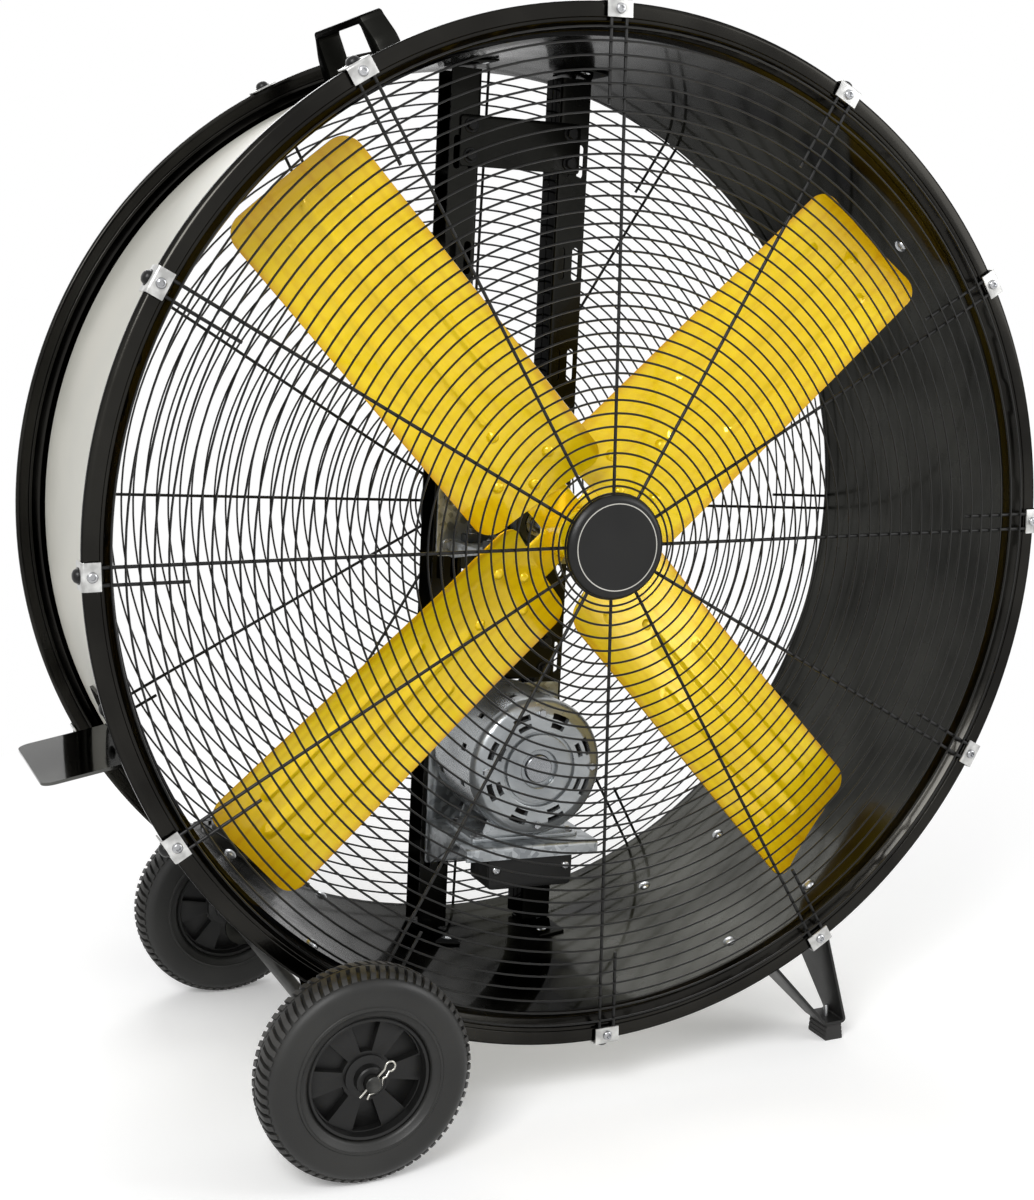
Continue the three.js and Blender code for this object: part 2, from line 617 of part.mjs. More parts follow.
// Pulley: a grooved rim on a thin web, with a hub that is bored for its shaft.
function pulley(beltRadius, shaftRadius, hubRadius, sides) {
  const lip = beltRadius + BELT_THICKNESS + PULLEY_LIP;
  const floor = beltRadius - RUNNING_GAP - CLEARANCE;
  const front = BELT_FRONT - CLEARANCE;
  const back = BELT_BACK + CLEARANCE;
  const webFront = (front + back - PULLEY_WEB) / 2;
  const webBack = webFront + PULLEY_WEB;
  const rimInside = floor - 6;
  const bore = shaftRadius + CLEARANCE;
  const face = [[bore, front - PULLEY_FLANGE], [hubRadius, front - PULLEY_FLANGE]];
  const dish = rimInside > hubRadius + 6;
  const [rimFront, rimBack] = [front - PULLEY_FLANGE, back + PULLEY_FLANGE];
  const frontDish = dish ? [[hubRadius, webFront], [rimInside, webFront], [rimInside, rimFront]] : [];
  const backDish = dish ? [[rimInside, rimBack], [rimInside, webBack], [hubRadius, webBack]] : [];
  const rim = [
    [lip, front - PULLEY_FLANGE],
    [lip, front],
    [floor, front],
    [floor, back],
    [lip, back],
    [lip, back + PULLEY_FLANGE],
  ];
  const rear = [[hubRadius, back + PULLEY_FLANGE], [bore, back + PULLEY_FLANGE]];
  return revolved([...face, ...frontDish, ...rim, ...backDish, ...rear], sides);
}

// Belt: a loop round both pulleys, straight between them.
function belt() {
  const loop = (thickness) => {
    const big = FAN_BELT_RADIUS + thickness;
    const small = MOTOR_BELT_RADIUS + thickness;
    const tilt = THREE.MathUtils.radToDeg(Math.asin((big - small) / MOTOR_DROP));
    return [...arc(big, -tilt, 180 + tilt, 16), ...arc(small, 180 + tilt, 360 - tilt, 8, [0, -MOTOR_DROP])];
  };
  return plate(loop(BELT_THICKNESS), BELT_FRONT, BELT_WIDTH, [loop(0)]);
}

add(drum, "fan_shaft", rod(SHAFT_RADIUS, SHAFT_START, SHAFT_END, 12), STEEL);
add(drum, "fan_pulley", pulley(FAN_BELT_RADIUS, SHAFT_RADIUS, PULLEY_HUB_RADIUS, 16), CAST_IRON);
add(drum, "drive_belt", belt(), RUBBER_BLACK);

const motor = new THREE.Group();
motor.position.z = -MOTOR_DROP;
drum.add(motor);

const BODY_FRONT = MOTOR_FRONT + MOTOR_BELL + CLEARANCE;
const BODY_BACK = BODY_FRONT + MOTOR_BODY;
const BELL_BACK = BODY_BACK + MOTOR_REAR_BELL;

// Motor body: the shell and its domed rear bell, bored for the shaft.
function motorBody() {
  const bore = MOTOR_SHAFT_RADIUS + RUNNING_GAP;
  const profile = [
    [0, BODY_FRONT],
    [MOTOR_RADIUS, BODY_FRONT],
    [MOTOR_RADIUS, BODY_BACK],
    [MOTOR_RADIUS * 0.85, BELL_BACK - 4],
    [MOTOR_RADIUS * 0.45, BELL_BACK],
    [bore, BELL_BACK],
    [bore, BELL_BACK - MOTOR_SEAT],
    [0, BELL_BACK - MOTOR_SEAT],
  ];
  return revolved(profile, 24);
}

// Front bell: a domed face with a raised ring round the bearing cover.
function motorFrontBell() {
  const profile = [
    [0, MOTOR_FRONT + 7],
    [MOTOR_RADIUS * 0.32, MOTOR_FRONT + 7],
    [MOTOR_RADIUS * 0.36, MOTOR_FRONT],
    [MOTOR_RADIUS * 0.8, MOTOR_FRONT + 4],
    [MOTOR_RADIUS, MOTOR_FRONT + 18],
    [MOTOR_RADIUS, BODY_FRONT - CLEARANCE],
    [0, BODY_FRONT - CLEARANCE],
  ];
  return revolved(profile, 24);
}

// Motor foot: a cradle that follows the shell, on a flat base.
function motorFoot() {
  const half = MOTOR_FOOT_WIDTH / 2;
  const bottom = -MOTOR_RADIUS - MOTOR_FOOT_HEIGHT;
  const cradle = arc(MOTOR_RADIUS + RUNNING_GAP, -55, -125, 6);
  const top = bottom + MOTOR_FOOT_SHEET;
  const neck = half * 0.8;
  const base = [[-half, bottom], [half, bottom], [half, top], [neck, top]];
  const outline = [...base, ...cradle, [-neck, top], [-half, top]];
  return plate(outline, BODY_FRONT + 8, MOTOR_BODY - 16);
}

// Motor bracket: a plate on the uprights behind the motor and a shelf under its foot.
function motorBracket() {
  const half = MOTOR_PLATE_WIDTH / 2;
  const shelfTop = -MOTOR_RADIUS - MOTOR_FOOT_HEIGHT - CLEARANCE;
  const hole = arc(MOTOR_RADIUS * 0.45, 0, 330, 11);
  return joined(
    plate(rectangle(-half, half, -MOTOR_PLATE_BOTTOM, MOTOR_PLATE_TOP), PLATE_FRONT, PLATE_THICKNESS, [hole]),
    block([-half, half], [MOTOR_SHELF_FRONT, PLATE_FRONT + 1], [shelfTop - PLATE_THICKNESS, shelfTop]),
  );
}

// Control box: hangs under the shelf behind a front cover.
function controlBox() {
  const { width, depth, height, corner } = CONTROL_BOX;
  const top = -MOTOR_RADIUS - MOTOR_FOOT_HEIGHT - PLATE_THICKNESS - 2 * CLEARANCE;
  const half = width / 2;
  const outline = [
    [-half, top],
    [-half, top - height + corner],
    [-half + corner, top - height],
    [half - corner, top - height],
    [half, top - height + corner],
    [half, top],
  ];
  return plate(outline, MOTOR_SHELF_FRONT + 6, depth);
}

add(motor, "motor_body", motorBody(), MOTOR_GREY);
add(motor, "motor_front_bell", motorFrontBell(), MOTOR_GREY);
add(motor, "motor_foot", motorFoot(), MOTOR_GREY);
add(motor, "motor_bracket", motorBracket(), ZINC);
add(motor, "control_box", controlBox(), PLASTIC_BLACK);
const motorShaftStart = BELL_BACK - MOTOR_SEAT + CLEARANCE;
add(motor, "motor_shaft", rod(MOTOR_SHAFT_RADIUS, motorShaftStart, SHAFT_END, 10), STEEL);
const motorPulley = pulley(MOTOR_BELT_RADIUS, MOTOR_SHAFT_RADIUS, MOTOR_BELT_RADIUS - 8, 14);
add(motor, "motor_pulley", motorPulley, CAST_IRON);

// Handle: an arch with round shoulders, its two legs on the skin.
function handle() {
  const base = facetReach(SKIN_RADIUS, HANDLE_WIDTH, HANDLE_ANGLE) + CLEARANCE;
  const top = base + HANDLE_RISE;
  const under = top - HANDLE_BAR;
  const c = HANDLE_CORNER;
  const half = [
    [HANDLE_TOP / 2 - HANDLE_LEG_TOP - c / 2, under],
    [HANDLE_TOP / 2 - HANDLE_LEG_TOP, under - c / 2],
    [HANDLE_LENGTH / 2 - HANDLE_LEG, base],
    [HANDLE_LENGTH / 2, base],
    [HANDLE_WAIST / 2, base + HANDLE_WAIST_HEIGHT],
    [HANDLE_TOP / 2, top - c],
    [HANDLE_TOP / 2 - c * 0.3, top - c * 0.3],
    [HANDLE_TOP / 2 - c, top],
  ];
  const middle = DRUM_DEPTH / 2;
  const rear = half.map(([y, r]) => [middle + y, r]);
  const front = half.toReversed().map(([y, r]) => [middle - y, r]);
  const outline = [...rear, ...front].toReversed();
  return rimPiece(outline, HANDLE_WIDTH, HANDLE_ANGLE);
}

// Step plate: a leg that lies on the skin, folded out into a tread.
function stepPlate() {
  const lie = CLEARANCE + STEP_SHEET / 2;
  const legSpan = THREE.MathUtils.radToDeg(STEP_LEG / SKIN_RADIUS);
  const leg = facetPath(SKIN_RADIUS, lie, STEP_ANGLE - legSpan, STEP_ANGLE);
  const fold = leg.at(-1);
  const slope = radians(180 + STEP_SLOPE);
  const edge = [fold[0] + STEP_REACH * Math.cos(slope), fold[1] + STEP_REACH * Math.sin(slope)];
  return plate(foldedSheet([...leg, edge], STEP_SHEET), (DRUM_DEPTH - STEP_LENGTH) / 2, STEP_LENGTH);
}

add(drum, "handle", handle(), PAINT_BLACK);
add(drum, "step_plate", stepPlate(), PAINT_BLACK);

// Axle and wheels.
const axleAngle = 180 + THREE.MathUtils.radToDeg(Math.asin((AXIS_HEIGHT - WHEEL_RADIUS) / AXLE_OFFSET));
const axleCentre = polar(AXLE_OFFSET, axleAngle);
const wheelDepths = [-1, 1].map((side) => (DRUM_DEPTH + side * WHEEL_SPACING) / 2);
const toAxle = (geometry) => geometry.translate(axleCentre[0], 0, axleCentre[1]);

// Tyre: a rounded section with a flat tread.
function tyre(middle) {
  const inner = WHEEL_RIM_RADIUS + CLEARANCE;
  const half = TYRE_WIDTH / 2;
  const shoulder = WHEEL_RADIUS - (half - TYRE_CROWN / 2) * 0.8;
  const wall = (inner + shoulder) / 2;
  const side = [[inner, half - 5], [wall, half], [shoulder, half - 2], [WHEEL_RADIUS, TYRE_CROWN / 2]];
  const profile = [...side, ...side.map(([r, y]) => [r, -y]).toReversed()];
  return toAxle(revolved(profile, WHEEL_SIDES).translate(0, middle, 0));
}

// Wheel rim: a moulded disc with wedge pockets between its spokes and a long hub.
function wheelRim(middle) {
  const half = WHEEL_RIM_WIDTH / 2;
  const bore = arc(AXLE_RADIUS + RUNNING_GAP, 0, 324, 9);
  const step = 360 / WHEEL_POCKETS;
  const pockets = range(WHEEL_POCKETS).map((i) => {
    const a = i * step + step / 2;
    const outer = arc(WHEEL_RIM_RADIUS - 12, a - 20, a + 20, 3);
    return [...outer, ...arc(WHEEL_HUB_RADIUS + 9, a + 14, a - 14, 1)];
  });
  const edge = arc(WHEEL_RIM_RADIUS, 0, 360 - 360 / WHEEL_SIDES, WHEEL_SIDES - 1);
  const disc = plate(edge, middle - half, WHEEL_RIM_WIDTH, [bore, ...pockets]);
  const hubHalf = WHEEL_HUB_WIDTH / 2;
  const hub = plate(arc(WHEEL_HUB_RADIUS, 0, 330, 11), middle - hubHalf, WHEEL_HUB_WIDTH, [bore]);
  return toAxle(joined(disc, hub));
}

const pinGap = WHEEL_HUB_WIDTH / 2 + CLEARANCE + PIN_RADIUS;
const pinDepths = [wheelDepths[0] - pinGap, wheelDepths[1] + pinGap];
const axleEnds = [pinDepths[0] - AXLE_OVERHANG / 2, pinDepths[1] + AXLE_OVERHANG / 2];

function pinRod(depth, radius, length) {
  const rod = new THREE.CylinderGeometry(radius, radius, length, 6).rotateX(Math.PI / 2);
  return rod.rotateY(radians(PIN_LEAN)).translate(0, depth, 0);
}

function axle() {
  const bar = rod(AXLE_RADIUS, axleEnds[0], axleEnds[1], 12);
  const holes = pinDepths.map((depth) => pinRod(depth, PIN_RADIUS + CLEARANCE, 3 * AXLE_RADIUS));
  return toAxle(without(bar, ...holes));
}

// Split pin: a straight shank with an eye at its upper end.
function splitPin(depth) {
  const eye = new THREE.TorusGeometry(5, PIN_RADIUS * 0.8, 4, 8)
    .rotateX(Math.PI / 2)
    .translate(0, 0, PIN_LENGTH / 2 + 4)
    .rotateY(radians(PIN_LEAN))
    .translate(0, depth, 0);
  return toAxle(joined(pinRod(depth, PIN_RADIUS, PIN_LENGTH), eye));
}

// Axle bracket: a gusset from the skin to the axle, with a curved flange along the skin.
function axleBracket(side) {
  const from = axleAngle - BRACKET_SPREAD / 2;
  const to = axleAngle + BRACKET_SPREAD / 2;
  const face = side < 0 ? BRACKET_INSET : DRUM_DEPTH - BRACKET_INSET - BRACKET_SHEET;
  const stripFront = side < 0 ? face : face + BRACKET_SHEET - BRACKET_STRIP;
  const boss = arc(BRACKET_BOSS, axleAngle - 80, axleAngle + 80, 6, axleCentre);
  const hole = arc(AXLE_RADIUS + CLEARANCE, 0, 330, 11, axleCentre);
  const seat = facetPath(SKIN_RADIUS, CLEARANCE, to, from, DRUM_ROLL);
  const outside = facetPath(SKIN_RADIUS, CLEARANCE + BRACKET_SHEET, from, to, DRUM_ROLL);
  return joined(
    plate([...seat, ...boss], face, BRACKET_SHEET, [hole]),
    plate([...seat, ...outside], stripFront, BRACKET_STRIP),
  );
}

["front", "rear"].forEach((end, i) => {
  add(level, end + "_tyre", tyre(wheelDepths[i]), RUBBER_BLACK);
  add(level, end + "_wheel_rim", wheelRim(wheelDepths[i]), PLASTIC_BLACK);
  add(level, end + "_split_pin", splitPin(pinDepths[i]), ZINC);
  add(level, end + "_axle_bracket", axleBracket(2 * i - 1), PAINT_BLACK);
});
add(level, "axle", axle(), ZINC);

// Foot: one strap folded from the skin down to a flat sole and back up, wider at the skin than at the sole.
const soleHeight = -AXIS_HEIGHT + PAD_HEIGHT + CLEARANCE + FOOT_SHEET / 2;
const soleMiddle = soleHeight / Math.tan(radians(FOOT_ANGLE));

function foot(side) {
  const lie = CLEARANCE + FOOT_SHEET / 2;
  const [left, right] = [FOOT_ANGLE - FOOT_SPREAD, FOOT_ANGLE + FOOT_SPREAD];
  const tabs = [
    facetPath(SKIN_RADIUS, lie, left - FOOT_TAB, left, DRUM_ROLL),
    facetPath(SKIN_RADIUS, lie, right, right + FOOT_TAB, DRUM_ROLL),
  ];
  const sole = [-1, 1].map((end) => [soleMiddle + (end * FOOT_SOLE) / 2, soleHeight]);
  const rise = tabs[1].at(-1)[1] - soleHeight;
  const insetAt = (z) => FOOT_SOLE_INSET + ((FOOT_TAB_INSET - FOOT_SOLE_INSET) * (z - soleHeight)) / rise;
  const widthAt = (z) => FOOT_SOLE_WIDTH + ((FOOT_TAB_WIDTH - FOOT_SOLE_WIDTH) * (z - soleHeight)) / rise;
  const strap = plate(foldedSheet([...tabs[0], ...sole, ...tabs[1]], FOOT_SHEET), 0, 1);
  const place = strap.getAttribute("position");
  for (let i = 0; i < place.count; i++) {
    const across = side < 0 ? place.getY(i) : 1 - place.getY(i);
    place.setY(i, outFrom(side, -insetAt(place.getZ(i)) - across * widthAt(place.getZ(i))));
  }
  return strap;
}

function footPad(side) {
  const top = -AXIS_HEIGHT + PAD_HEIGHT;
  const outline = [
    [soleMiddle - PAD_LENGTH / 2, -AXIS_HEIGHT],
    [soleMiddle + PAD_LENGTH / 2, -AXIS_HEIGHT],
    [soleMiddle + PAD_LENGTH / 2 - PAD_TAPER, top],
    [soleMiddle - PAD_LENGTH / 2 + PAD_TAPER, top],
  ];
  const middle = outFrom(side, -FOOT_SOLE_INSET - FOOT_SOLE_WIDTH / 2);
  return plate(outline, middle - PAD_WIDTH / 2, PAD_WIDTH);
}

["front", "rear"].forEach((end, i) => {
  add(level, end + "_foot", foot(2 * i - 1), PAINT_BLACK);
  add(level, end + "_foot_pad", footPad(2 * i - 1), RUBBER_BLACK);
});

// The origin is on the floor under the middle of the whole fan.
const fan = new THREE.Group();
fan.add(level);
fan.updateMatrixWorld(true);
const bounds = new THREE.Box3().setFromObject(fan, true);
const middle = bounds.getCenter(new THREE.Vector3());
level.position.set(-middle.x, -middle.y, AXIS_HEIGHT);

export default fan;
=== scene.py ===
import math

import bmesh
import bpy
import numpy as np
from mathutils import Matrix, Vector


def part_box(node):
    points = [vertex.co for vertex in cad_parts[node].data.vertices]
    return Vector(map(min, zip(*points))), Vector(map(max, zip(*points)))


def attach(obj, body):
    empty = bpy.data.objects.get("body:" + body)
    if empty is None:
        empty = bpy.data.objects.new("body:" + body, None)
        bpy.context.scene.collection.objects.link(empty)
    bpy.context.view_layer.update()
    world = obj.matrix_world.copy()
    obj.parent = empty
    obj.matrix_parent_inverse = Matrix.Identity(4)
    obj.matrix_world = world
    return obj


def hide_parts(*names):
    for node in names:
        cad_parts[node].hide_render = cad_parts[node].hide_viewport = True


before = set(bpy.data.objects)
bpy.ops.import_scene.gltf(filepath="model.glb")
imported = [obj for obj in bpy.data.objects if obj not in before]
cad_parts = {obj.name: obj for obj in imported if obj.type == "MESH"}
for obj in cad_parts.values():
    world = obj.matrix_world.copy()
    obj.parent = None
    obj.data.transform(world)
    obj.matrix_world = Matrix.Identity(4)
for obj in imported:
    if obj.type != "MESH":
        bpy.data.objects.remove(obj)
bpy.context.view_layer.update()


# Drum skin
# A hoop of rolled steel sheet. It is sprayed gloss black inside and satin light grey outside, and carriage
# bolts go through it for the uprights, the feet, the handle, the step plate and the axle brackets.
rim_low, rim_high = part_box("front_rim")
AXIS_X = (rim_low.x + rim_high.x) / 2
AXIS_Z = (rim_low.z + rim_high.z) / 2
RIM_FACE = rim_low.y
DRUM_ROLL = 2.7  # degrees that the drum stands turned clockwise
DRUM_BORE = 612
SKIN_RADIUS = 614
DRUM_DEPTH = 490
SKIN_START = 26.1


def place(points, roll):
    """Millimetres right of the axis, back from the front rim's face and up from the axis, as row metres.

    x = AXIS_X + right cos roll + up sin roll, z = AXIS_Z - right sin roll + up cos roll.
    """
    right, back, up = np.asarray(points, float).T
    a = math.radians(roll)
    return np.column_stack(
        (
            AXIS_X + (right * math.cos(a) + up * math.sin(a)) / 1000,
            RIM_FACE + back / 1000,
            AXIS_Z + (up * math.cos(a) - right * math.sin(a)) / 1000,
        )
    )


def merged(*parts):
    """Several (points, faces) pairs as one."""
    points, faces, start = [], [], 0
    for p, f in parts:
        points.append(np.asarray(p, float))
        faces.extend(tuple(i + start for i in face) for face in f)
        start += len(p)
    return np.vstack(points), faces


def grid(points, close_rows=False, close_columns=False, cap=False):
    """Quads over points in rows and columns. cap closes the first and the last row with one face each."""
    rows, columns = points.shape[:2]
    i = np.arange(rows if close_rows else rows - 1)[:, None]
    j = np.arange(columns if close_columns else columns - 1)[None, :]
    row, next_row, next_column = i * columns, (i + 1) % rows * columns, (j + 1) % columns
    corners = (row + j, row + next_column, next_row + next_column, next_row + j)
    faces = np.stack(corners, -1).reshape(-1, 4).tolist()
    if cap:
        faces += [list(range(columns)), list(range((rows - 1) * columns, rows * columns))]
    return points.reshape(-1, 3), faces


def arc(radius, start, end, steps, centre=(0, 0)):
    """Points (cx + r cos a, cy + r sin a) from one angle to another, in degrees."""
    a = np.radians(np.linspace(start, end, steps + 1))
    return np.column_stack((centre[0] + radius * np.cos(a), centre[1] + radius * np.sin(a)))


def turned(profile, sides=96, centre=(0, 0)):
    """A closed profile of (radius, depth) points turned round an axis: x = cx + r cos a, z = cz + r sin a."""
    radius, depth = np.asarray(profile, float).T
    a = np.linspace(0, 2 * math.pi, sides, endpoint=False)[:, None]
    x = centre[0] + radius * np.cos(a)
    z = centre[1] + radius * np.sin(a)
    return grid(np.stack((x, np.broadcast_to(depth, x.shape), z), -1), True, True)


def piece(name, part, material, replaces, body="stand", slot=None, roll=DRUM_ROLL, crease=38):
    """A mesh of drum millimetres with one material, that rides on a body in place of CAD nodes."""
    mesh = bpy.data.meshes.new(name)
    mesh.from_pydata(place(part[0], roll).tolist(), [], part[1])
    shape = bmesh.new()
    shape.from_mesh(mesh)
    bmesh.ops.remove_doubles(shape, verts=shape.verts, dist=2e-5)
    bmesh.ops.recalc_face_normals(shape, faces=shape.faces)
    shape.to_mesh(mesh)
    shape.free()
    mesh.polygons.foreach_set("use_smooth", np.ones(len(mesh.polygons), bool))
    mesh.set_sharp_from_angle(angle=math.radians(crease))
    mesh.materials.append(material)
    made = bpy.data.objects.new(name, mesh)
    bpy.context.scene.collection.objects.link(made)
    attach(made, body)
    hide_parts(*replaces)
    return made


def group(name, inputs, output, build):
    """A node group with named inputs and one output of values, which build(nodes, links, sockets) returns."""
    made = bpy.data.node_groups.new(name, "ShaderNodeTree")
    for label, value in inputs.items():
        kind = "NodeSocketVector" if isinstance(value, tuple) else "NodeSocketFloat"
        made.interface.new_socket(label, in_out="INPUT", socket_type=kind).default_value = value
    made.interface.new_socket(output, in_out="OUTPUT", socket_type="NodeSocketFloat")
    sockets = made.nodes.new("NodeGroupInput").outputs
    result = build(made.nodes, made.links, sockets)
    made.links.new(result, made.nodes.new("NodeGroupOutput").inputs[0])
    return made


def placed(nodes, effect):
    """The output of an effect, which is a node group and the values of its inputs, placed among nodes."""
    made = nodes.new("ShaderNodeGroup")
    made.node_tree, values = effect
    for label, value in values.items():
        made.inputs[label].default_value = value
    return made.outputs[0]


def noise(nodes, links, sockets):
    """Noise on the object's own coordinates, stretched by a factor on each axis."""
    where = nodes.new("ShaderNodeTexCoord")
    mapping = nodes.new("ShaderNodeMapping")
    links.new(where.outputs["Object"], mapping.inputs["Vector"])
    links.new(sockets["Stretch"], mapping.inputs["Scale"])
    pattern = nodes.new("ShaderNodeTexNoise")
    links.new(mapping.outputs["Vector"], pattern.inputs["Vector"])
    for label in ("Scale", "Detail"):
        links.new(sockets[label], pattern.inputs[label])
    return pattern.outputs["Fac"]


grain = group("grain", {"Scale": 420, "Detail": 2, "Stretch": (1, 1, 1)}, "Height", noise)


def spread(nodes, links, sockets):
    """Grain whose values from Low to High cover 0 to 1, so that it makes patches with soft borders."""
    pattern = nodes.new("ShaderNodeGroup")
    pattern.node_tree = grain
    for label in ("Scale", "Detail"):
        links.new(sockets[label], pattern.inputs[label])
    mapped = nodes.new("ShaderNodeMapRange")
    links.new(pattern.outputs[0], mapped.inputs["Value"])
    links.new(sockets["Low"], mapped.inputs["From Min"])
    links.new(sockets["High"], mapped.inputs["From Max"])
    return mapped.outputs["Result"]


patches = group("patches", {"Scale": 7, "Detail": 6, "Low": 0.35, "High": 0.68}, "Mask", spread)

# Broad clouds for dust and uneven spray, and the fine orange peel of sprayed paint.
CLOUDS = (patches, {"Scale": 7, "Detail": 6, "Low": 0.35, "High": 0.68})
ORANGE_PEEL = (grain, {"Scale": 420, "Detail": 2})
GRAIN_HEIGHT = 0.0004  # metres, at a strength of 1
LACQUER_ROUGHNESS = 0.06


def mapped_range(nodes, links, socket, low, high, to_low=0, to_high=1):
    """A value mapped from low..high on to another range, and clamped there."""
    made = nodes.new("ShaderNodeMapRange")
    for label, value in (("From Min", low), ("From Max", high), ("To Min", to_low), ("To Max", to_high)):
        made.inputs[label].default_value = value
    links.new(socket, made.inputs["Value"])
    return made.outputs["Result"]


def linear(colour):
    """A colour of 0 to 255 values as linear light: ((c + 0.055) / 1.055) ^ 2.4, or c / 12.92 in the dark."""
    share = np.array(colour) / 255
    light = np.where(share > 10 / 255, ((share + 0.055) / 1.055) ** 2.4, share / 12.92)
    return (*light.tolist(), 1)


def finish(
    name, dark, light, roughness, strength, relief=ORANGE_PEEL, mask=CLOUDS,
    metallic=0, coat=0, specular=0.5, edge=1,
):
    """A surface whose colour and roughness follow a mask and whose normal follows a relief.

    edge darkens what a metallic surface mirrors at a low angle.
    """
    made = bpy.data.materials.new(name)
    made.use_nodes = True
    nodes, links = made.node_tree.nodes, made.node_tree.links
    shader = nodes["Principled BSDF"]
    shader.inputs["Metallic"].default_value = metallic
    shader.inputs["Coat Weight"].default_value = coat
    shader.inputs["Coat Roughness"].default_value = LACQUER_ROUGHNESS
    shader.inputs["Specular IOR Level"].default_value = specular
    shader.inputs["Specular Tint"].default_value = (edge, edge, edge, 1)
    share = placed(nodes, mask)
    mix = nodes.new("ShaderNodeMix")
    mix.data_type = "RGBA"
    mix.inputs["A"].default_value = linear(dark)
    mix.inputs["B"].default_value = linear(light)
    links.new(share, mix.inputs["Factor"])
    links.new(mix.outputs["Result"], shader.inputs["Base Color"])
    links.new(mapped_range(nodes, links, share, 0, 1, *roughness), shader.inputs["Roughness"])
    bump = nodes.new("ShaderNodeBump")
    bump.inputs["Strength"].default_value = strength
    bump.inputs["Distance"].default_value = GRAIN_HEIGHT
    links.new(placed(nodes, relief), bump.inputs["Height"])
    links.new(bump.outputs["Normal"], shader.inputs["Normal"])
    return made


def fastener(centre, direction, profile, sides=24):
    """A profile of (radius, height) points turned round a direction and set down at a centre."""
    points, faces = turned(profile, sides)
    y = np.asarray(direction, float) / np.linalg.norm(direction)
    side = np.cross(y, (0.0, 1, 0) if abs(y[1]) < 0.9 else (1.0, 0, 0))
    side /= np.linalg.norm(side)
    return points @ np.array((side, y, np.cross(side, y))) + np.asarray(centre, float), faces


def outward(angle):
    """The direction out from the drum's axis at an angle."""
    return np.array((math.cos(math.radians(angle)), 0, math.sin(math.radians(angle))))


LINING = 1.3  # the part of the skin's thickness that goes with its black side
EDGE_BREAK = 0.7  # how far the sheet's sharp edge is broken
gloss_black = finish(
    "gloss_black", (30, 29, 27), (44, 43, 40), (0.14, 0.28), 0.12, metallic=1, coat=0.1, edge=0.26
)
lining_black = finish(
    "lining_black", (40, 40, 38), (60, 60, 57), (0.14, 0.3), 0.12, metallic=1, coat=0.1, edge=0.36
)
grey_skin = finish("grey_skin", (187, 186, 177), (195, 193, 184), (0.36, 0.5), 0.15)
start, end = SKIN_START, DRUM_DEPTH - SKIN_START
inner = [(DRUM_BORE + r, y) for r, y in ((0, start), (LINING, start), (LINING, end), (0, end))]
outer = [(SKIN_RADIUS - EDGE_BREAK, start), (SKIN_RADIUS, start + EDGE_BREAK)]
outer += [(SKIN_RADIUS, end - EDGE_BREAK), (SKIN_RADIUS - EDGE_BREAK, end)]
piece("drum_lining", turned(inner, 256), lining_black, ["drum_skin"], slot="black_paint", crease=30)
piece("drum_outside", turned(outer, 256), grey_skin, ["drum_skin"], crease=30)

# Bolts through the drum's wall, each at an angle and a depth. Their domed heads are inside.
LONE_BOLT = [(40, 109)]
UPRIGHT_BOLTS = [(277, 305), (263, 305), (83, 305), (97, 305)]
STEP_BOLTS = [(204, 185), (204, 305)]
FOOT_BOLTS = {"front": [(294, 68), (307.1, 68)], "rear": [(294, 323), (307.1, 323)]}
HANDLE_BOLTS = [(114.5, 137), (114.5, 353)]
AXLE_BOLTS = {"front": [(234.5, 50), (249, 50)], "rear": [(234.5, 440), (249, 440)]}
WALL_BOLTS = LONE_BOLT + UPRIGHT_BOLTS + STEP_BOLTS + HANDLE_BOLTS
WALL_BOLTS += sum([*FOOT_BOLTS.values(), *AXLE_BOLTS.values()], [])
DOME_HEAD = [(0, 5.2), (3, 5), (6.5, 3.6), (8.6, 1.6), (9.2, 0), (0, 0)]
bright_zinc = finish("bright_zinc", (176, 178, 180), (206, 208, 210), (0.2, 0.36), 0.1, metallic=0.9)
heads = [fastener(outward(a) * DRUM_BORE + (0, y, 0), -outward(a), DOME_HEAD) for a, y in WALL_BOLTS]
piece("wall_bolts", merged(*heads), bright_zinc, [], slot="zinc_plate")


# Rims
# Each end of the drum is a rolled steel hoop in gloss black. Its outer edge is curled over, its flat face
# steps in twice, and a slope leads into the drum's bore.
RIM_RADIUS = 650
RIM_SHEET = 2
RIM_CURL = (5, 15)  # how far the curled edge comes in, and how far back it lies
RIM_FLAT = 632  # where the flat face ends
RIM_STEP = 1.8  # depth of each step


def rounded(points, radius, steps=5):
    """A line of points whose inner corners are arcs of one radius, or of one radius for each corner."""
    points = np.asarray(points, float)
    radii = np.broadcast_to(radius, len(points) - 2)
    line = [points[0]]
    for before, corner, after, r in zip(points[:-2], points[1:-1], points[2:], radii):
        a = (before - corner) / np.linalg.norm(before - corner)
        b = (after - corner) / np.linalg.norm(after - corner)
        half = math.acos(max(-1, min(1, float(a @ b)))) / 2
        if r <= 0 or half > 1.56:
            line.append(corner)
            continue
        cut = r / math.tan(half)
        middle = corner + (a + b) / np.linalg.norm(a + b) * r / math.sin(half)
        start, end = corner + a * cut - middle, corner + b * cut - middle
        swing = math.atan2(start[0] * end[1] - start[1] * end[0], float(start @ end))
        for share in np.linspace(0, 1, steps + 1):
            c, s = math.cos(swing * share), math.sin(swing * share)
            line.append(middle + (start[0] * c - start[1] * s, start[0] * s + start[1] * c))
    line.append(points[-1])
    return np.array(line)


def loop_rounded(points, radius, steps=4):
    """A closed outline with all its corners rounded."""
    points = np.asarray(points, float)
    return rounded(np.vstack((points[-1:], points, points[:1])), radius, steps)[1:-1]


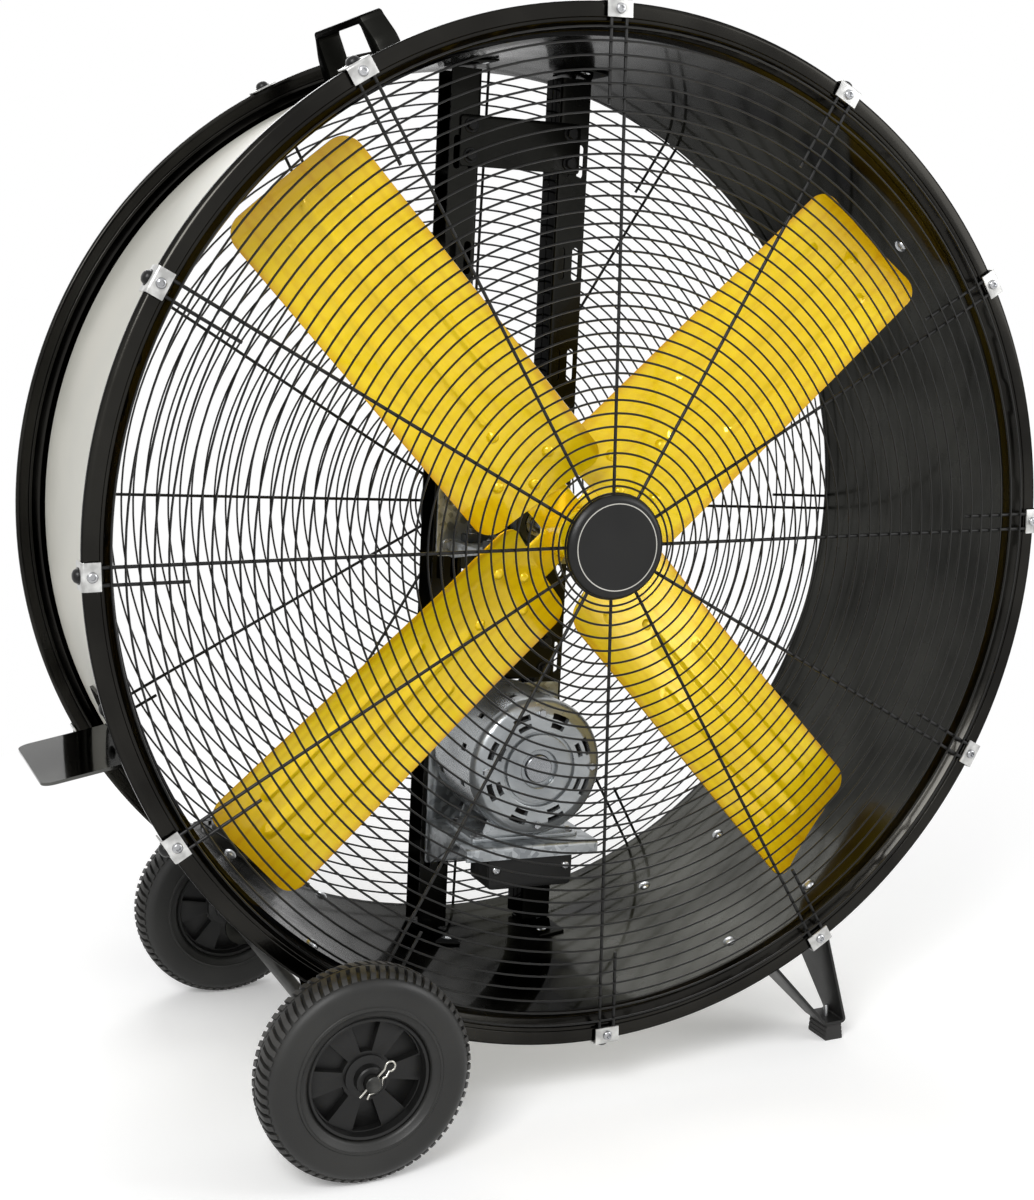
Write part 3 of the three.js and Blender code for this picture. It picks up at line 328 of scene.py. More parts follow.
def sheet(line, thickness):
    """The closed outline of a sheet that follows a line: the line moved half the thickness to each side."""
    line = np.asarray(line, float)
    steps = np.diff(line, axis=0)
    steps /= np.linalg.norm(steps, axis=1)[:, None]
    first, second = np.vstack((steps[:1], steps)), np.vstack((steps, steps[-1:]))
    middle = first + second
    middle /= np.linalg.norm(middle, axis=1)[:, None]
    reach = thickness / 2 / np.sum(middle * first, axis=1)[:, None]
    offset = np.column_stack((-middle[:, 1], middle[:, 0])) * reach
    return np.vstack((line + offset, (line - offset)[::-1]))


def rim(side):
    """The rim's section as a sheet: curled edge, flat face, two steps and a slope rolled into the bore."""
    edge, wall, face = RIM_RADIUS - RIM_SHEET / 2, DRUM_BORE + RIM_SHEET / 2, RIM_SHEET / 2
    line = [(edge - RIM_CURL[0], RIM_CURL[1]), (edge, RIM_CURL[1]), (edge, face), (RIM_FLAT, face)]
    line += [(RIM_FLAT - 1, face + RIM_STEP), (RIM_FLAT - 4.5, face + RIM_STEP)]
    line += [(RIM_FLAT - 5.5, face + 2 * RIM_STEP), (617.5, 12.5), (wall, 23), (wall, SKIN_START - 0.1)]
    outline = sheet(rounded(line, [2, 6, 0.7, 0.7, 0.7, 1, 6, 8]), RIM_SHEET)
    if side > 0:
        outline = np.column_stack((outline[:, 0], DRUM_DEPTH - outline[:, 1]))
    return turned(outline, 256)


piece("front_rim_hoop", rim(-1), gloss_black, ["front_rim"], slot="black_paint", crease=30)
piece("rear_rim_hoop", rim(1), gloss_black, ["rear_rim"], slot="black_paint", crease=30)


# Guards
# Each guard is a welded grille of hard steel wire in satin black. Close rings lie in front of twelve long
# spokes, and a short spoke stands beside each long one from the rim to a ring.
CLOSE_RINGS = [66, 75, 83]  # radii of the rings next to the cap
RING_PITCH = 16.27
RING_RADII = CLOSE_RINGS + [CLOSE_RINGS[-1] + RING_PITCH * i for i in range(1, 34)]
RING_WIRE = 1.4
RING_LINE = 6.0  # distance of the rings' middle out from the rim's face
SPOKE_WIRE = 2.2
SPOKE_LINE = 2.6
SPOKE_START, SPOKE_END = 52, 639
SHORT_SPOKE_START = 530
SHORT_SPOKE_ASIDE = 20
SPOKE_LEAN = 0.9  # degrees that the guard leans, so that a clip covers a pair of spokes


def out_from(side, distance):
    """A distance out from a rim's face as a depth."""
    return -distance if side < 0 else DRUM_DEPTH + distance


def tube(path, radius, normal, sides=8, closed=False):
    """A round wire along a path that lies in one plane: p + r (cos a (t x n) + sin a n)."""
    path = np.asarray(path, float)
    step = np.roll(path, -1, 0) - np.roll(path, 1, 0)
    if not closed:
        step[0], step[-1] = path[1] - path[0], path[-1] - path[-2]
    step /= np.linalg.norm(step, axis=1)[:, None]
    across = np.cross(step, normal)
    a = np.linspace(0, 2 * math.pi, sides, endpoint=False)[:, None]
    points = path[:, None] + radius * (np.cos(a) * across[:, None] + np.sin(a) * np.asarray(normal, float))
    return grid(points, closed, True, not closed)


def turn(part, angle):
    """A part turned anticlockwise round the drum's axis, seen from the front."""
    x, y, z = np.asarray(part[0], float).T
    c, s = math.cos(math.radians(angle)), math.sin(math.radians(angle))
    return np.column_stack((x * c - z * s, y, x * s + z * c)), part[1]


def guard(side):
    """Rings of wire round the axis, and spokes of thicker wire behind them."""
    a = np.radians(np.linspace(0, 360, 144, endpoint=False))
    ring_depth = np.full(len(a), out_from(side, RING_LINE))
    parts = []
    for r in RING_RADII:
        path = np.column_stack((r * np.cos(a), ring_depth, r * np.sin(a)))
        parts.append(tube(path, RING_WIRE, (0, 1, 0), 6, True))
    y = out_from(side, SPOKE_LINE)
    for i in range(12):
        for start, z in ((SPOKE_START, 0), (SHORT_SPOKE_START, SHORT_SPOKE_ASIDE)):
            wire = tube([(start, y, z), (SPOKE_END, y, z)], SPOKE_WIRE, (0, 1, 0))
            parts.append(turn(wire, 30 * i - SPOKE_LEAN))
    return merged(*parts)


black_wire = finish("black_wire", (12, 12, 12), (22, 22, 21), (0.3, 0.45), 0.2, specular=0.3)
piece("front_guard_wires", guard(-1), black_wire, ["front_guard"], slot="black_wire", roll=0, crease=60)
piece("rear_guard_wires", guard(1), black_wire, ["rear_guard"], slot="black_wire", crease=60)


# Guard caps
# A bevelled disc of satin black plastic covers the middle of each guard. A thin silver ring is let into its
# face, which is otherwise bare.
CAP_RADIUS = 65
CAP_BACK, CAP_BORDER, CAP_FACE = 7.35, 17.35, 17.1  # distances out from the rim's face
CAP_GROOVE = (53.4, 55)
GROOVE_FLOOR = 16.7


def cap(side):
    """The cap's section from the guard outwards, with a shallow groove for the silver ring."""
    inside, outside = CAP_GROOVE
    section = [(0, CAP_BACK), (CAP_RADIUS, CAP_BACK), (CAP_RADIUS, 12.2), (CAP_RADIUS - 1, 13.6), (59.5, 17)]
    section += [(58, CAP_BORDER), (outside, CAP_BORDER), (outside, GROOVE_FLOOR), (inside, GROOVE_FLOOR)]
    section += [(inside, CAP_FACE), (0, CAP_FACE)]
    return turned([(r, out_from(side, d)) for r, d in section], 96)


def cap_ring(side):
    """A flat ring in the cap's groove, 0.1 mm clear of its two walls."""
    inside, outside = CAP_GROOVE[0] + 0.1, CAP_GROOVE[1] - 0.1
    back, front = out_from(side, GROOVE_FLOOR - 0.1), out_from(side, CAP_BORDER - 0.05)
    return turned([(inside, back), (outside, back), (outside, front), (inside, front)], 96)


MOULDED_GRAIN = (grain, {"Scale": 900, "Detail": 3})
cap_plastic = finish(
    "cap_plastic", (14, 14, 14), (22, 22, 21), (0.3, 0.42), 0.3, relief=MOULDED_GRAIN, specular=0.3
)
silver_ring = finish("silver_ring", (178, 176, 168), (205, 203, 196), (0.2, 0.3), 0.1, metallic=0.8)
for end, side, roll in (("front", -1, 0), ("rear", 1, DRUM_ROLL)):
    piece(end + "_cap", cap(side), cap_plastic, [end + "_guard_cap"], slot="black_plastic", roll=roll)
    piece(end + "_cap_ring", cap_ring(side), silver_ring, [], slot="bright_steel", roll=roll)


# Clips
# Each clip is a bent plate of zinc-plated steel over the ends of a pair of spokes. A button-head screw with a
# hexagon socket holds it to the rim's face, and a domed black bolt holds its return on the rim's edge.
CLIP_SHEET = 2
CLIP_REACH = 20  # down the rim's face
CLIP_RETURN = 24  # back along the rim's edge
CLIP_HALF_WIDTH = 16.5
CLIP_LINE = 5.5  # distance of the plate's middle out from the rim's face
SOCKET_SCREW = [(0, 1.2), (2.9, 1.2), (3.1, 4.2), (4.6, 4), (6, 2.6), (6.5, 0), (0, 0)]
CLIP_DOME = [(0, 7.8), (3.5, 7.4), (6.6, 5.8), (8.2, 3.4), (8.6, 1.5), (10, 1.3), (10, 0), (0, 0)]


def prism(outline, low, high, axes="xzy", holes=(), bevel=0.6):
    """An outline from low to high, with holes and bevelled edges. axes names where u, v and w go."""
    curve = bpy.data.curves.new("outline", "CURVE")
    curve.dimensions = "2D"
    curve.fill_mode = "BOTH"
    curve.extrude = (high - low) / 2 - bevel
    curve.bevel_depth = bevel
    curve.bevel_resolution = 1
    curve.offset = -bevel
    for loop in (outline, *holes):
        spline = curve.splines.new("POLY")
        spline.points.add(len(loop) - 1)
        flat = np.column_stack((np.asarray(loop, float), np.zeros(len(loop)), np.ones(len(loop))))
        spline.points.foreach_set("co", flat.ravel())
        spline.use_cyclic_u = True
    drawn = bpy.data.objects.new("outline", curve)
    mesh = bpy.data.meshes.new_from_object(drawn)
    flat = np.zeros(len(mesh.vertices) * 3)
    mesh.vertices.foreach_get("co", flat)
    flat = flat.reshape(-1, 3) + (0, 0, (low + high) / 2)
    faces = [tuple(face.vertices) for face in mesh.polygons]
    bpy.data.objects.remove(drawn)
    bpy.data.curves.remove(curve)
    bpy.data.meshes.remove(mesh)
    points = np.zeros_like(flat)
    for column, axis in enumerate(axes):
        points[:, "xyz".index(axis)] = flat[:, column]
    return points, faces


def rectangle(left, right, bottom, top):
    """The corners of a rectangle, from the lower left one."""
    return [(left, bottom), (right, bottom), (right, top), (left, top)]


def clip(side, angle):
    """The bent plate: down the rim's face, round its edge and back along it."""
    edge, face = RIM_RADIUS + 0.6, out_from(side, CLIP_LINE)
    top = edge + CLIP_SHEET / 2
    line = rounded([(face, edge - CLIP_REACH), (face, top), (out_from(side, -CLIP_RETURN), top)], 3)
    plate = prism(sheet(line, CLIP_SHEET), -CLIP_HALF_WIDTH, CLIP_HALF_WIDTH, "yxz", bevel=0.5)
    return turn(plate, angle)


def clip_screw(side, angle):
    """The socket screw on the clip's face."""
    spot = (RIM_RADIUS - 9.4, out_from(side, CLIP_LINE + CLIP_SHEET / 2 - 0.1), 0)
    return turn(fastener(spot, (0, side, 0), SOCKET_SCREW, 24), angle)


def clip_dome(side, angle):
    """The domed bolt outside the clip's return."""
    spot = (RIM_RADIUS + 2.4, out_from(side, -11), 0)
    return turn(fastener(spot, (1, 0, 0), CLIP_DOME, 20), angle)


SPANGLE = (patches, {"Scale": 60, "Detail": 3, "Low": 0.35, "High": 0.65})
clip_zinc = finish(
    "clip_zinc", (168, 168, 166), (214, 214, 212), (0.28, 0.46), 0.2, mask=SPANGLE, metallic=0.7
)
screw_steel = finish("screw_steel", (150, 151, 153), (196, 197, 199), (0.18, 0.3), 0.1, metallic=0.95)
bolt_black = finish("bolt_black", (12, 12, 12), (20, 20, 20), (0.3, 0.45), 0.2, specular=0.3)
CLIPS = [("front_clip_%02d" % (i + 1), -1, 30 * i, 0) for i in range(12)]
CLIPS += [("rear_clip_%d" % (i + 1), 1, 30 + 90 * i, DRUM_ROLL) for i in range(4)]
for label, side, angle, roll in CLIPS:
    piece(label + "_plate", clip(side, angle), clip_zinc, [label], slot="zinc_plate", roll=roll)
    piece(label + "_screw", clip_screw(side, angle), screw_steel, [], slot="zinc_plate", roll=roll)
    piece(label + "_dome", clip_dome(side, angle), bolt_black, [], slot="black_plastic", roll=roll)


# Uprights
# Two channels of slotted steel, painted black, stand back to back behind the rotor. A bent tab at each end
# is bolted to the drum's wall.
UPRIGHT_WEB = 59  # from the axis to each web
UPRIGHT_OUTER = 103
UPRIGHT_FRONT = 345
UPRIGHT_BACK = 400
UPRIGHT_END = 601
UPRIGHT_SHEET = 3
SLOT_COLUMNS = (12, 33)  # from the web
SLOT_PITCH = 140


def slotted(x, z, half_x, half_z):
    """The outline of a hole with round ends, at a middle and with half its two sizes."""
    corner = min(half_x, half_z) - 0.1
    return loop_rounded(rectangle(x - half_x, x + half_x, z - half_z, z + half_z), corner)


def upright(side):
    """A channel with rounded folds: a slotted front flange, a web and a rear flange, and two wall tabs."""
    web, outer, half = UPRIGHT_WEB, UPRIGHT_OUTER, UPRIGHT_SHEET / 2
    fold = [(web + 7, UPRIGHT_FRONT + half), (web + half, UPRIGHT_FRONT + half)]
    fold += [(web + half, UPRIGHT_BACK - half), (outer - half, UPRIGHT_BACK - half)]
    channel = prism(sheet(rounded(fold, 3.5), UPRIGHT_SHEET), -UPRIGHT_END, UPRIGHT_END, "xyz", bevel=0)
    slots = [slotted(web + x, z, 5, 22.5) for x in SLOT_COLUMNS for z in SLOT_PITCH * np.arange(-3.5, 4)]
    front = rectangle(web + 7, outer, -UPRIGHT_END, UPRIGHT_END)
    flange = prism(front, UPRIGHT_FRONT, UPRIGHT_FRONT + UPRIGHT_SHEET, "xzy", holes=slots, bevel=0)
    tab = arc(DRUM_BORE - 2, 80.6, 84.2, 6)
    tabs = [
        prism(sheet(tab * (1, end), UPRIGHT_SHEET), UPRIGHT_FRONT - 62, UPRIGHT_FRONT + 40, "xzy", bevel=0.4)
        for end in (1, -1)
    ]
    points, faces = merged(channel, flange, *tabs)
    return points * (side, 1, 1), faces


frame_black = finish(
    "frame_black", (30, 30, 28), (44, 44, 41), (0.24, 0.38), 0.25, metallic=1, coat=0.06, edge=0.18
)
piece("left_upright_channel", upright(-1), frame_black, ["left_upright"], slot="black_paint")
piece("right_upright_channel", upright(1), frame_black, ["right_upright"], slot="black_paint")


# Cross plates
# Two flat plates of black steel join the uprights. They are cut from sheet with round corners, and four
# hexagon bolts hold each of them on the uprights' front flanges.
PLATE_FRONT = 340.7
PLATE_SHEET = 4
HEX_HEAD = [(0, 0), (7.5, 0), (7.5, 4.6), (6.6, 5.4), (0, 5.4)]
WASHER = [(0, 0), (10.5, 0), (10.5, 1.4), (10, 1.8), (0, 1.8)]


def hex_bolt(x, y, z, direction=(0, -1, 0)):
    """A hexagon head on a washer."""
    axis = np.asarray(direction, float)
    washer = fastener((x, y, z), axis, WASHER, 24)
    return merged(washer, fastener(np.array((x, y, z)) + axis * 1.7, axis, HEX_HEAD, 6))


def cross_plate(middle):
    """A flat plate with small round corners."""
    outline = loop_rounded(rectangle(-89, 89, middle - 34, middle + 34), 5)
    return prism(outline, PLATE_FRONT, PLATE_FRONT + PLATE_SHEET, "xzy", bevel=0.5)


bolt_zinc = finish(
    "bolt_zinc", (120, 121, 122), (176, 177, 178), (0.25, 0.4), 0.2, mask=SPANGLE, metallic=0.85
)
for end, middle in (("upper", 506), ("lower", -205)):
    label = end + "_cross_plate"
    piece(end + "_plate_sheet", cross_plate(middle), frame_black, [label], slot="black_paint")
    heads = [hex_bolt(x, PLATE_FRONT, middle + z) for x in (-74, 74) for z in (-20, 20)]
    piece(end + "_plate_bolts", merged(*heads), bolt_black, [], slot="black_plastic")


# Bearing bracket
# A galvanised plate on the uprights with a hole for the shaft. A folded shelf on two gussets stands out from
# it and carries the pillow blocks, and four bolts go through short slots in the plate.
SHELF_TOP = -36.8
BRACKET_BOLTS = [(x, z) for x in (-81, 81) for z in (-45, 22)]


def circle(radius, sides=48, centre=(0, 0)):
    """The outline of a round hole or disc."""
    return arc(radius, 0, 360 - 360 / sides, sides - 1, centre)


def folded_shelf(front, back, top, drop, half_width):
    """A shelf of plate between two depths, with its front edge folded down."""
    half = PLATE_SHEET / 2
    fold = [(front, top - drop), (front, top - half), (back, top - half)]
    return prism(sheet(rounded(fold, 4), PLATE_SHEET), -half_width, half_width, "yzx", bevel=0.4)


def gussets(outline, middle):
    """Two upright plates below a shelf, as far left and right of the axis."""
    half = PLATE_SHEET / 2
    return [prism(outline, x - half, x + half, "yzx", bevel=0.4) for x in (-middle, middle)]


def bearing_bracket():
    """The plate, the shelf with its folded lip and the two gussets."""
    outline = loop_rounded(rectangle(-100, 100, -60, 38), 4)
    holes = [circle(33)] + [slotted(x, z, 11, 4.5) for x, z in BRACKET_BOLTS]
    plate = prism(outline, PLATE_FRONT, PLATE_FRONT + PLATE_SHEET, "xzy", holes=holes, bevel=0.4)
    shelf = folded_shelf(208, PLATE_FRONT + 2, SHELF_TOP, 16, 82)
    side = [(222, SHELF_TOP - 4), (341, SHELF_TOP - 4), (341, -60), (322, -60)]
    return merged(plate, shelf, *gussets(side, 80))


def spangle(nodes, links, sockets):
    """Crystal grains of hot-dip zinc: each cell of a Voronoi pattern has its own shade."""
    where = nodes.new("ShaderNodeTexCoord")
    cells = nodes.new("ShaderNodeTexVoronoi")
    links.new(sockets["Scale"], cells.inputs["Scale"])
    links.new(where.outputs["Object"], cells.inputs["Vector"])
    shade = nodes.new("ShaderNodeSeparateColor")
    links.new(cells.outputs["Color"], shade.inputs["Color"])
    return shade.outputs[0]


ZINC_CELLS = (group("zinc_cells", {"Scale": 110}, "Mask", spangle), {})
galvanised = finish(
    "galvanised", (128, 132, 135), (186, 190, 193), (0.3, 0.5), 0.2, mask=ZINC_CELLS, metallic=0.85
)
piece("bearing_bracket_sheet", bearing_bracket(), galvanised, ["bearing_bracket"], slot="zinc_plate")
heads = [hex_bolt(x, PLATE_FRONT, z) for x, z in BRACKET_BOLTS]
piece("bearing_bracket_bolts", merged(*heads), bolt_zinc, [], slot="zinc_plate")


# Bearings
# Two cast-iron pillow blocks with ball inserts. Each has a flat foot with two bolts, a round housing, an
# insert with a locking collar and a grease nipple.
BEARING_FRONTS = {"front": 222, "rear": 302}
BEARING_DEPTH = 30
BEARING_FOOT = -36.5
GREASE_NIPPLE = [(0, 0), (3.4, 0), (3.4, 3), (2, 3.6), (2, 6.5), (0, 7)]


def even_ring(front, bore, outer, lip, inset, start=0):
    """A ring that is the same before and behind. Its outer corners step in by a lip over an inset."""
    back = front + BEARING_DEPTH
    section = [(bore, front + start), (outer - lip, front + start), (outer, front + inset)]
    section += [(outer, back - inset), (outer - lip, back - start), (bore, back - start)]
    return turned(section, 48)


def pillow_block(front):
    """The housing's outline, its thinner foot, the raised ring and the insert's collar."""
    foot = BEARING_FOOT
    right = [(-70, foot), (70, foot), (70, foot + 10), (44, foot + 13)]
    outline = np.vstack((right, arc(31, -22, 202, 28), [(-44, foot + 13), (-70, foot + 10)]))
    body = prism(outline, front + 4, front + BEARING_DEPTH - 4, "xzy", holes=[circle(18.6)], bevel=1.6)
    ring = even_ring(front, 19, 30, 2, 5, 1)
    insert = even_ring(front, 13.1, 18.8, 1.4, 3)
    nipple = fastener((0, front + BEARING_DEPTH / 2, 30), (0, 0, 1), GREASE_NIPPLE, 12)
    return merged(body, ring), merged(insert, nipple)


CAST_RELIEF = (grain, {"Scale": 260, "Detail": 5})
cast_iron = finish("cast_iron", (34, 38, 41), (58, 62, 65), (0.45, 0.62), 0.6, relief=CAST_RELIEF)
turned_steel = finish("turned_steel", (138, 140, 143), (190, 192, 195), (0.2, 0.36), 0.15, metallic=0.95)
for end, front in BEARING_FRONTS.items():
    housing, insert = pillow_block(front)
    piece(end + "_bearing_housing", housing, cast_iron, [end + "_bearing"], slot="cast_iron")
    piece(end + "_bearing_insert", insert, turned_steel, [], slot="bright_steel")
    heads = [hex_bolt(x, front + BEARING_DEPTH / 2, -25, (0, 0, 1)) for x in (-57, 57)]
    piece(end + "_bearing_bolts", merged(*heads), bolt_zinc, [], slot="zinc_plate")


# Blades
# Four pressed sheet-steel blades in gloss yellow enamel. Each is cambered, pitched less towards its tip,
# stiffened by pressed beads and riveted to the spider with domed yellow rivets.
ROTOR_PLANE = 108
BLADE_ANGLES = [43.5, 133.5, 223.5, 313.5]
BLADE_ROOT = 62
BLADE_TIP = 582
BLADE_CORNER = 26
BLADE_SHEET = 2.4
HALF_CHORD = 96
CAMBER = 9
ARM_LENGTH = 205
ROOT_PITCH = 24  # degrees, out to the arm's end
WASHOUT = 7  # degrees that the pitch loses from there to the tip
BEADS = [(0, 130, 480, 4.8, 9), (46, 190, 450, 4.2, 7), (-46, 190, 450, 4.2, 7)]
RIVETS = [(86, 0), (112, 40), (112, -40), (170, 4)]  # along and across the blade
RIVET_DOME = [(0, 4.6), (3, 4.2), (6, 2.6), (7.6, 0.8), (8, 0), (0, 0)]


def pitched(points, pitch):
    """Points along, behind and across the blade, pitched: y = t sin p + n cos p, z = t cos p - n sin p."""
    s, n, t = np.moveaxis(np.asarray(points, float), -1, 0)
    depth = ROTOR_PLANE + t * np.sin(pitch) + n * np.cos(pitch)
    return np.stack((s, depth, t * np.cos(pitch) - n * np.sin(pitch)), -1)


def bead(s, t, middle, start, end, height, width):
    """A pressed rib along the blade with round ends: height min(0.72 (1 + cos pi d), 1) at a distance d."""
    past = np.maximum(np.maximum(start - s, s - end), 0)
    away = np.minimum(np.hypot(t - middle, past) / width, 1)
    return height * np.minimum(0.72 * (1 + np.cos(math.pi * away)), 1)


def blade(angle):
    """Two layers of a grid: camber c (1 - (t / half chord)^2), beads, round corners, less pitch outboard."""
    corner, length = BLADE_CORNER, BLADE_TIP - BLADE_ROOT
    edge = corner * (1 - np.cos(np.linspace(0, math.pi / 2, 9)))
    s = np.concatenate((edge, np.linspace(corner, length - corner, 120)[1:-1], length - edge[::-1]))[:, None]
    share = np.sin(np.linspace(-math.pi / 2, math.pi / 2, 61))[None, :]
    inset = corner - np.minimum(np.minimum(s, length - s), corner)
    t = share * (HALF_CHORD - corner + np.sqrt(np.maximum(corner**2 - inset**2, 0)))
    s = np.broadcast_to(s, t.shape)
    back = CAMBER * (1 - (t / HALF_CHORD) ** 2) - sum(bead(s, t, *one) for one in BEADS)
    outboard = np.maximum(0, (BLADE_ROOT + s - ARM_LENGTH) / (BLADE_TIP - ARM_LENGTH))
    pitch = np.radians(ROOT_PITCH - WASHOUT * outboard)
    lifts = (-BLADE_SHEET / 2, BLADE_SHEET / 2)
    front, rear = (grid(pitched(np.stack((BLADE_ROOT + s, back + lift, t), -1), pitch)) for lift in lifts)
    numbers = np.arange(t.size).reshape(t.shape)
    border = np.concatenate((numbers[0], numbers[1:, -1], numbers[-1, -2::-1], numbers[-2:0:-1, 0]))
    following = np.roll(border, -1)
    wall = np.column_stack((border, following, following + t.size, border + t.size))
    points, faces = merged(front, rear)
    return turn((points, faces + [tuple(f) for f in wall]), angle)


def rivets(angle):
    """Four domed heads in a kite on the blade's face."""
    heads = []
    for s, t in RIVETS:
        spot = np.array((s, CAMBER * (1 - (t / HALF_CHORD) ** 2) - 1.4, t))
        ends = pitched(np.array((spot, spot + (0, -1, 0))), math.radians(ROOT_PITCH))
        heads.append(fastener(ends[0], ends[1] - ends[0], RIVET_DOME, 20))
    return turn(merged(*heads), angle)


def dust_and_painted_shade(nodes, links, sockets):
    """Faint clouds of dust, times a factor that falls from 1 to 0.1 with the painted shade attribute: it
    darkens the enamel towards amber as painted shade along the edges and the tip, and as painted reflection
    in streaks.
    """
    cloud = placed(nodes, (grain, {"Scale": 4.5, "Detail": 8}))
    painted_shade = nodes.new("ShaderNodeAttribute")
    painted_shade.attribute_name = "painted_shade"
    product = nodes.new("ShaderNodeMath")
    product.operation = "MULTIPLY"
    links.new(mapped_range(nodes, links, cloud, 0.38, 0.72, 0.8, 1), product.inputs[0])
    links.new(mapped_range(nodes, links, painted_shade.outputs["Fac"], 0, 1, 1, 0.1), product.inputs[1])
    return product.outputs["Value"]


SHADE_BORDER = 12  # width of the band of painted shade along the blade's sides
SHADE_TIP = 80  # and of the painted shade inwards from its tip
# strength of the painted shade at the blade's sides and tip
EDGE_SHADE_DEPTH = 0.6
# strength of the painted reflection streaks
REFLECTION_STREAK_DEPTH = 0.25


def mark_painted_shade(made, angle):
    """Painted shade from 0 to 1: most at the sheet's outline, fading inwards and further in from the tip,
    plus streaks of painted reflection.

    The streaks of painted reflection are (sin(0.21 v + 1.3 sin(0.012 u)) + sin(0.47 v - 0.9 sin(0.02 u))) / 2
    of the place along
    (u) and across (v) the blade, in millimetres.
    """
    points = np.array([vertex.co for vertex in made.data.vertices])
    a = math.radians(angle - DRUM_ROLL)
    x, z = (points[:, 0] - AXIS_X) * 1000, (points[:, 2] - AXIS_Z) * 1000
    along = x * math.cos(a) + z * math.sin(a)
    rise = z * math.cos(a) - x * math.sin(a)
    across = np.hypot(rise, (points[:, 1] - RIM_FACE) * 1000 - ROTOR_PLANE) * np.sign(rise)
    border = np.clip(1 - (HALF_CHORD - np.abs(across)) / SHADE_BORDER, 0, 1)
    tip = np.clip(1 - (BLADE_TIP - along) / SHADE_TIP, 0, 1) ** 1.5
    waves = np.sin(0.21 * across + 1.3 * np.sin(0.012 * along))
    waves += np.sin(0.47 * across - 0.9 * np.sin(0.02 * along))
    painted_shade = EDGE_SHADE_DEPTH * np.maximum(border, tip) + REFLECTION_STREAK_DEPTH * np.clip(waves / 2, 0, 1)
    layer = made.data.attributes.new("painted_shade", "FLOAT", "POINT")
    layer.data.foreach_set("value", np.clip(painted_shade, 0, 1))


DUST_AND_SHADE = (group("enamel", {}, "Mask", dust_and_painted_shade), {})
# The dark amber stands for shade: the painted shade mask brings it in along the blades' sides and tips, and
# in streaks of painted reflection. The dust clouds move it only a little.
yellow_gloss = finish(
    "yellow_gloss", (204, 134, 0), (255, 222, 16), (0.26, 0.14), 0.1,
    mask=DUST_AND_SHADE, metallic=0.2, coat=0.5, specular=0.3,
)
for i, angle in enumerate(BLADE_ANGLES):
    label = "blade_%d" % (i + 1)
    paint = {"material": yellow_gloss, "body": "rotor", "slot": "yellow_paint"}
    # Each blade sheet gets its painted shade and painted reflection streaks as a point attribute.
    mark_painted_shade(piece(label + "_sheet", blade(angle), replaces=[label], crease=60, **paint), angle)
    piece(label + "_rivets", rivets(angle), replaces=[], **paint)


# Spider hub
# A bored steel boss with four flat arms behind the blades, welded together and painted with them. Two square
# set screws hold it on the shaft.
HUB_FRONT = 82.25
HUB_LENGTH = 62
HUB_RADIUS = 34
ARM_HALVES = [(24, -30), (84, -31), (112, -31), (180, -27), (205, -16)]  # along, and half across
ARM_FRONT, ARM_BACK = 10.6, 16.4  # behind the rotor's plane


def spider_hub():
    """The boss, and arms that taper towards round ends and follow the blades' pitch."""
    front, back = HUB_FRONT, HUB_FRONT + HUB_LENGTH
    section = [(13, front), (HUB_RADIUS - 3, front), (HUB_RADIUS, front + 3)]
    section += [(HUB_RADIUS, back - 3), (HUB_RADIUS - 3, back), (13, back)]
    half = np.array(ARM_HALVES)
    radii = [2, 20, 20, 20, 14]
    outline = loop_rounded(np.vstack((half, half[::-1] * (1, -1))), radii + radii[::-1])
    flat = prism(outline, ARM_FRONT, ARM_BACK, "xzy", bevel=0.8)
    arm = (pitched(flat[0], math.radians(ROOT_PITCH)), flat[1])
    arms = [turn(arm, angle) for angle in BLADE_ANGLES]
    screws = [fastener(outward(a) * 33 + (0, front + 50, 0), outward(a), HEX_HEAD, 4) for a in (0, 90)]
    return merged(turned(section, 64), *arms, *screws)


piece("spider", spider_hub(), yellow_gloss, ["spider_hub"], "rotor", "yellow_paint")


# Fan shaft
# A ground steel bar, 25 mm thick, with chamfered ends, a key at the pulley and a washer bolted to its
# front end.
SHAFT_RADIUS = 12.5
SHAFT_FRONT, SHAFT_BACK = 77, 436.3
END_WASHER = [(0, 0), (17, 0), (17, 2), (16.4, 2.6), (0, 2.6)]
END_BOLT = [(0, 0), (9.8, 0), (9.8, 5.6), (8.6, 6.6), (0, 6.6)]


def shaft(radius, start, end, centre=(0, 0)):
    """A bar with chamfered ends."""
    front = [(0, start), (radius - 1, start), (radius, start + 1)]
    return turned(front + [(radius, end - 1), (radius - 1, end), (0, end)], 48, centre)


LATHE_LINES = (grain, {"Scale": 90, "Detail": 2, "Stretch": (0.1, 30, 0.1)})
ground_steel = finish(
    "ground_steel", (142, 144, 147), (188, 190, 193), (0.16, 0.3), 0.2, relief=LATHE_LINES, metallic=1
)
key = prism(rectangle(-4, 4, 10, 13.4), 400, 436, "xzy", bevel=0.3)
bar = merged(shaft(SHAFT_RADIUS, SHAFT_FRONT, SHAFT_BACK), key)
piece("fan_shaft_bar", bar, ground_steel, ["fan_shaft"], "rotor", "bright_steel")
end_bolt = merged(
    fastener((0, SHAFT_FRONT, 0), (0, -1, 0), END_WASHER, 32),
    fastener((0, SHAFT_FRONT - 2.6, 0), (0, -1, 0), END_BOLT, 6),
)
piece("fan_shaft_bolt", end_bolt, bolt_zinc, [], "rotor", "zinc_plate")


# Belt drive
# A classical V-belt runs over two grooved cast-iron pulleys behind the uprights. The fan's pulley is the
# larger. Each pulley is held by a key and a set screw.
BELT_FRONT = 411
BELT_BACK = 424
BELT_MIDDLE = (BELT_FRONT + BELT_BACK) / 2
BELT_SECTION = [(0.2, -4.2), (0, -3.6), (0, 3.6), (0.2, 4.2), (7.2, 6.3), (8, 6), (8, -6), (7.2, -6.3)]
MOTOR_DROP = 330
FAN_PULLEY, MOTOR_PULLEY = 84, 27  # radii under the belt
WEB_HALF = 3.5


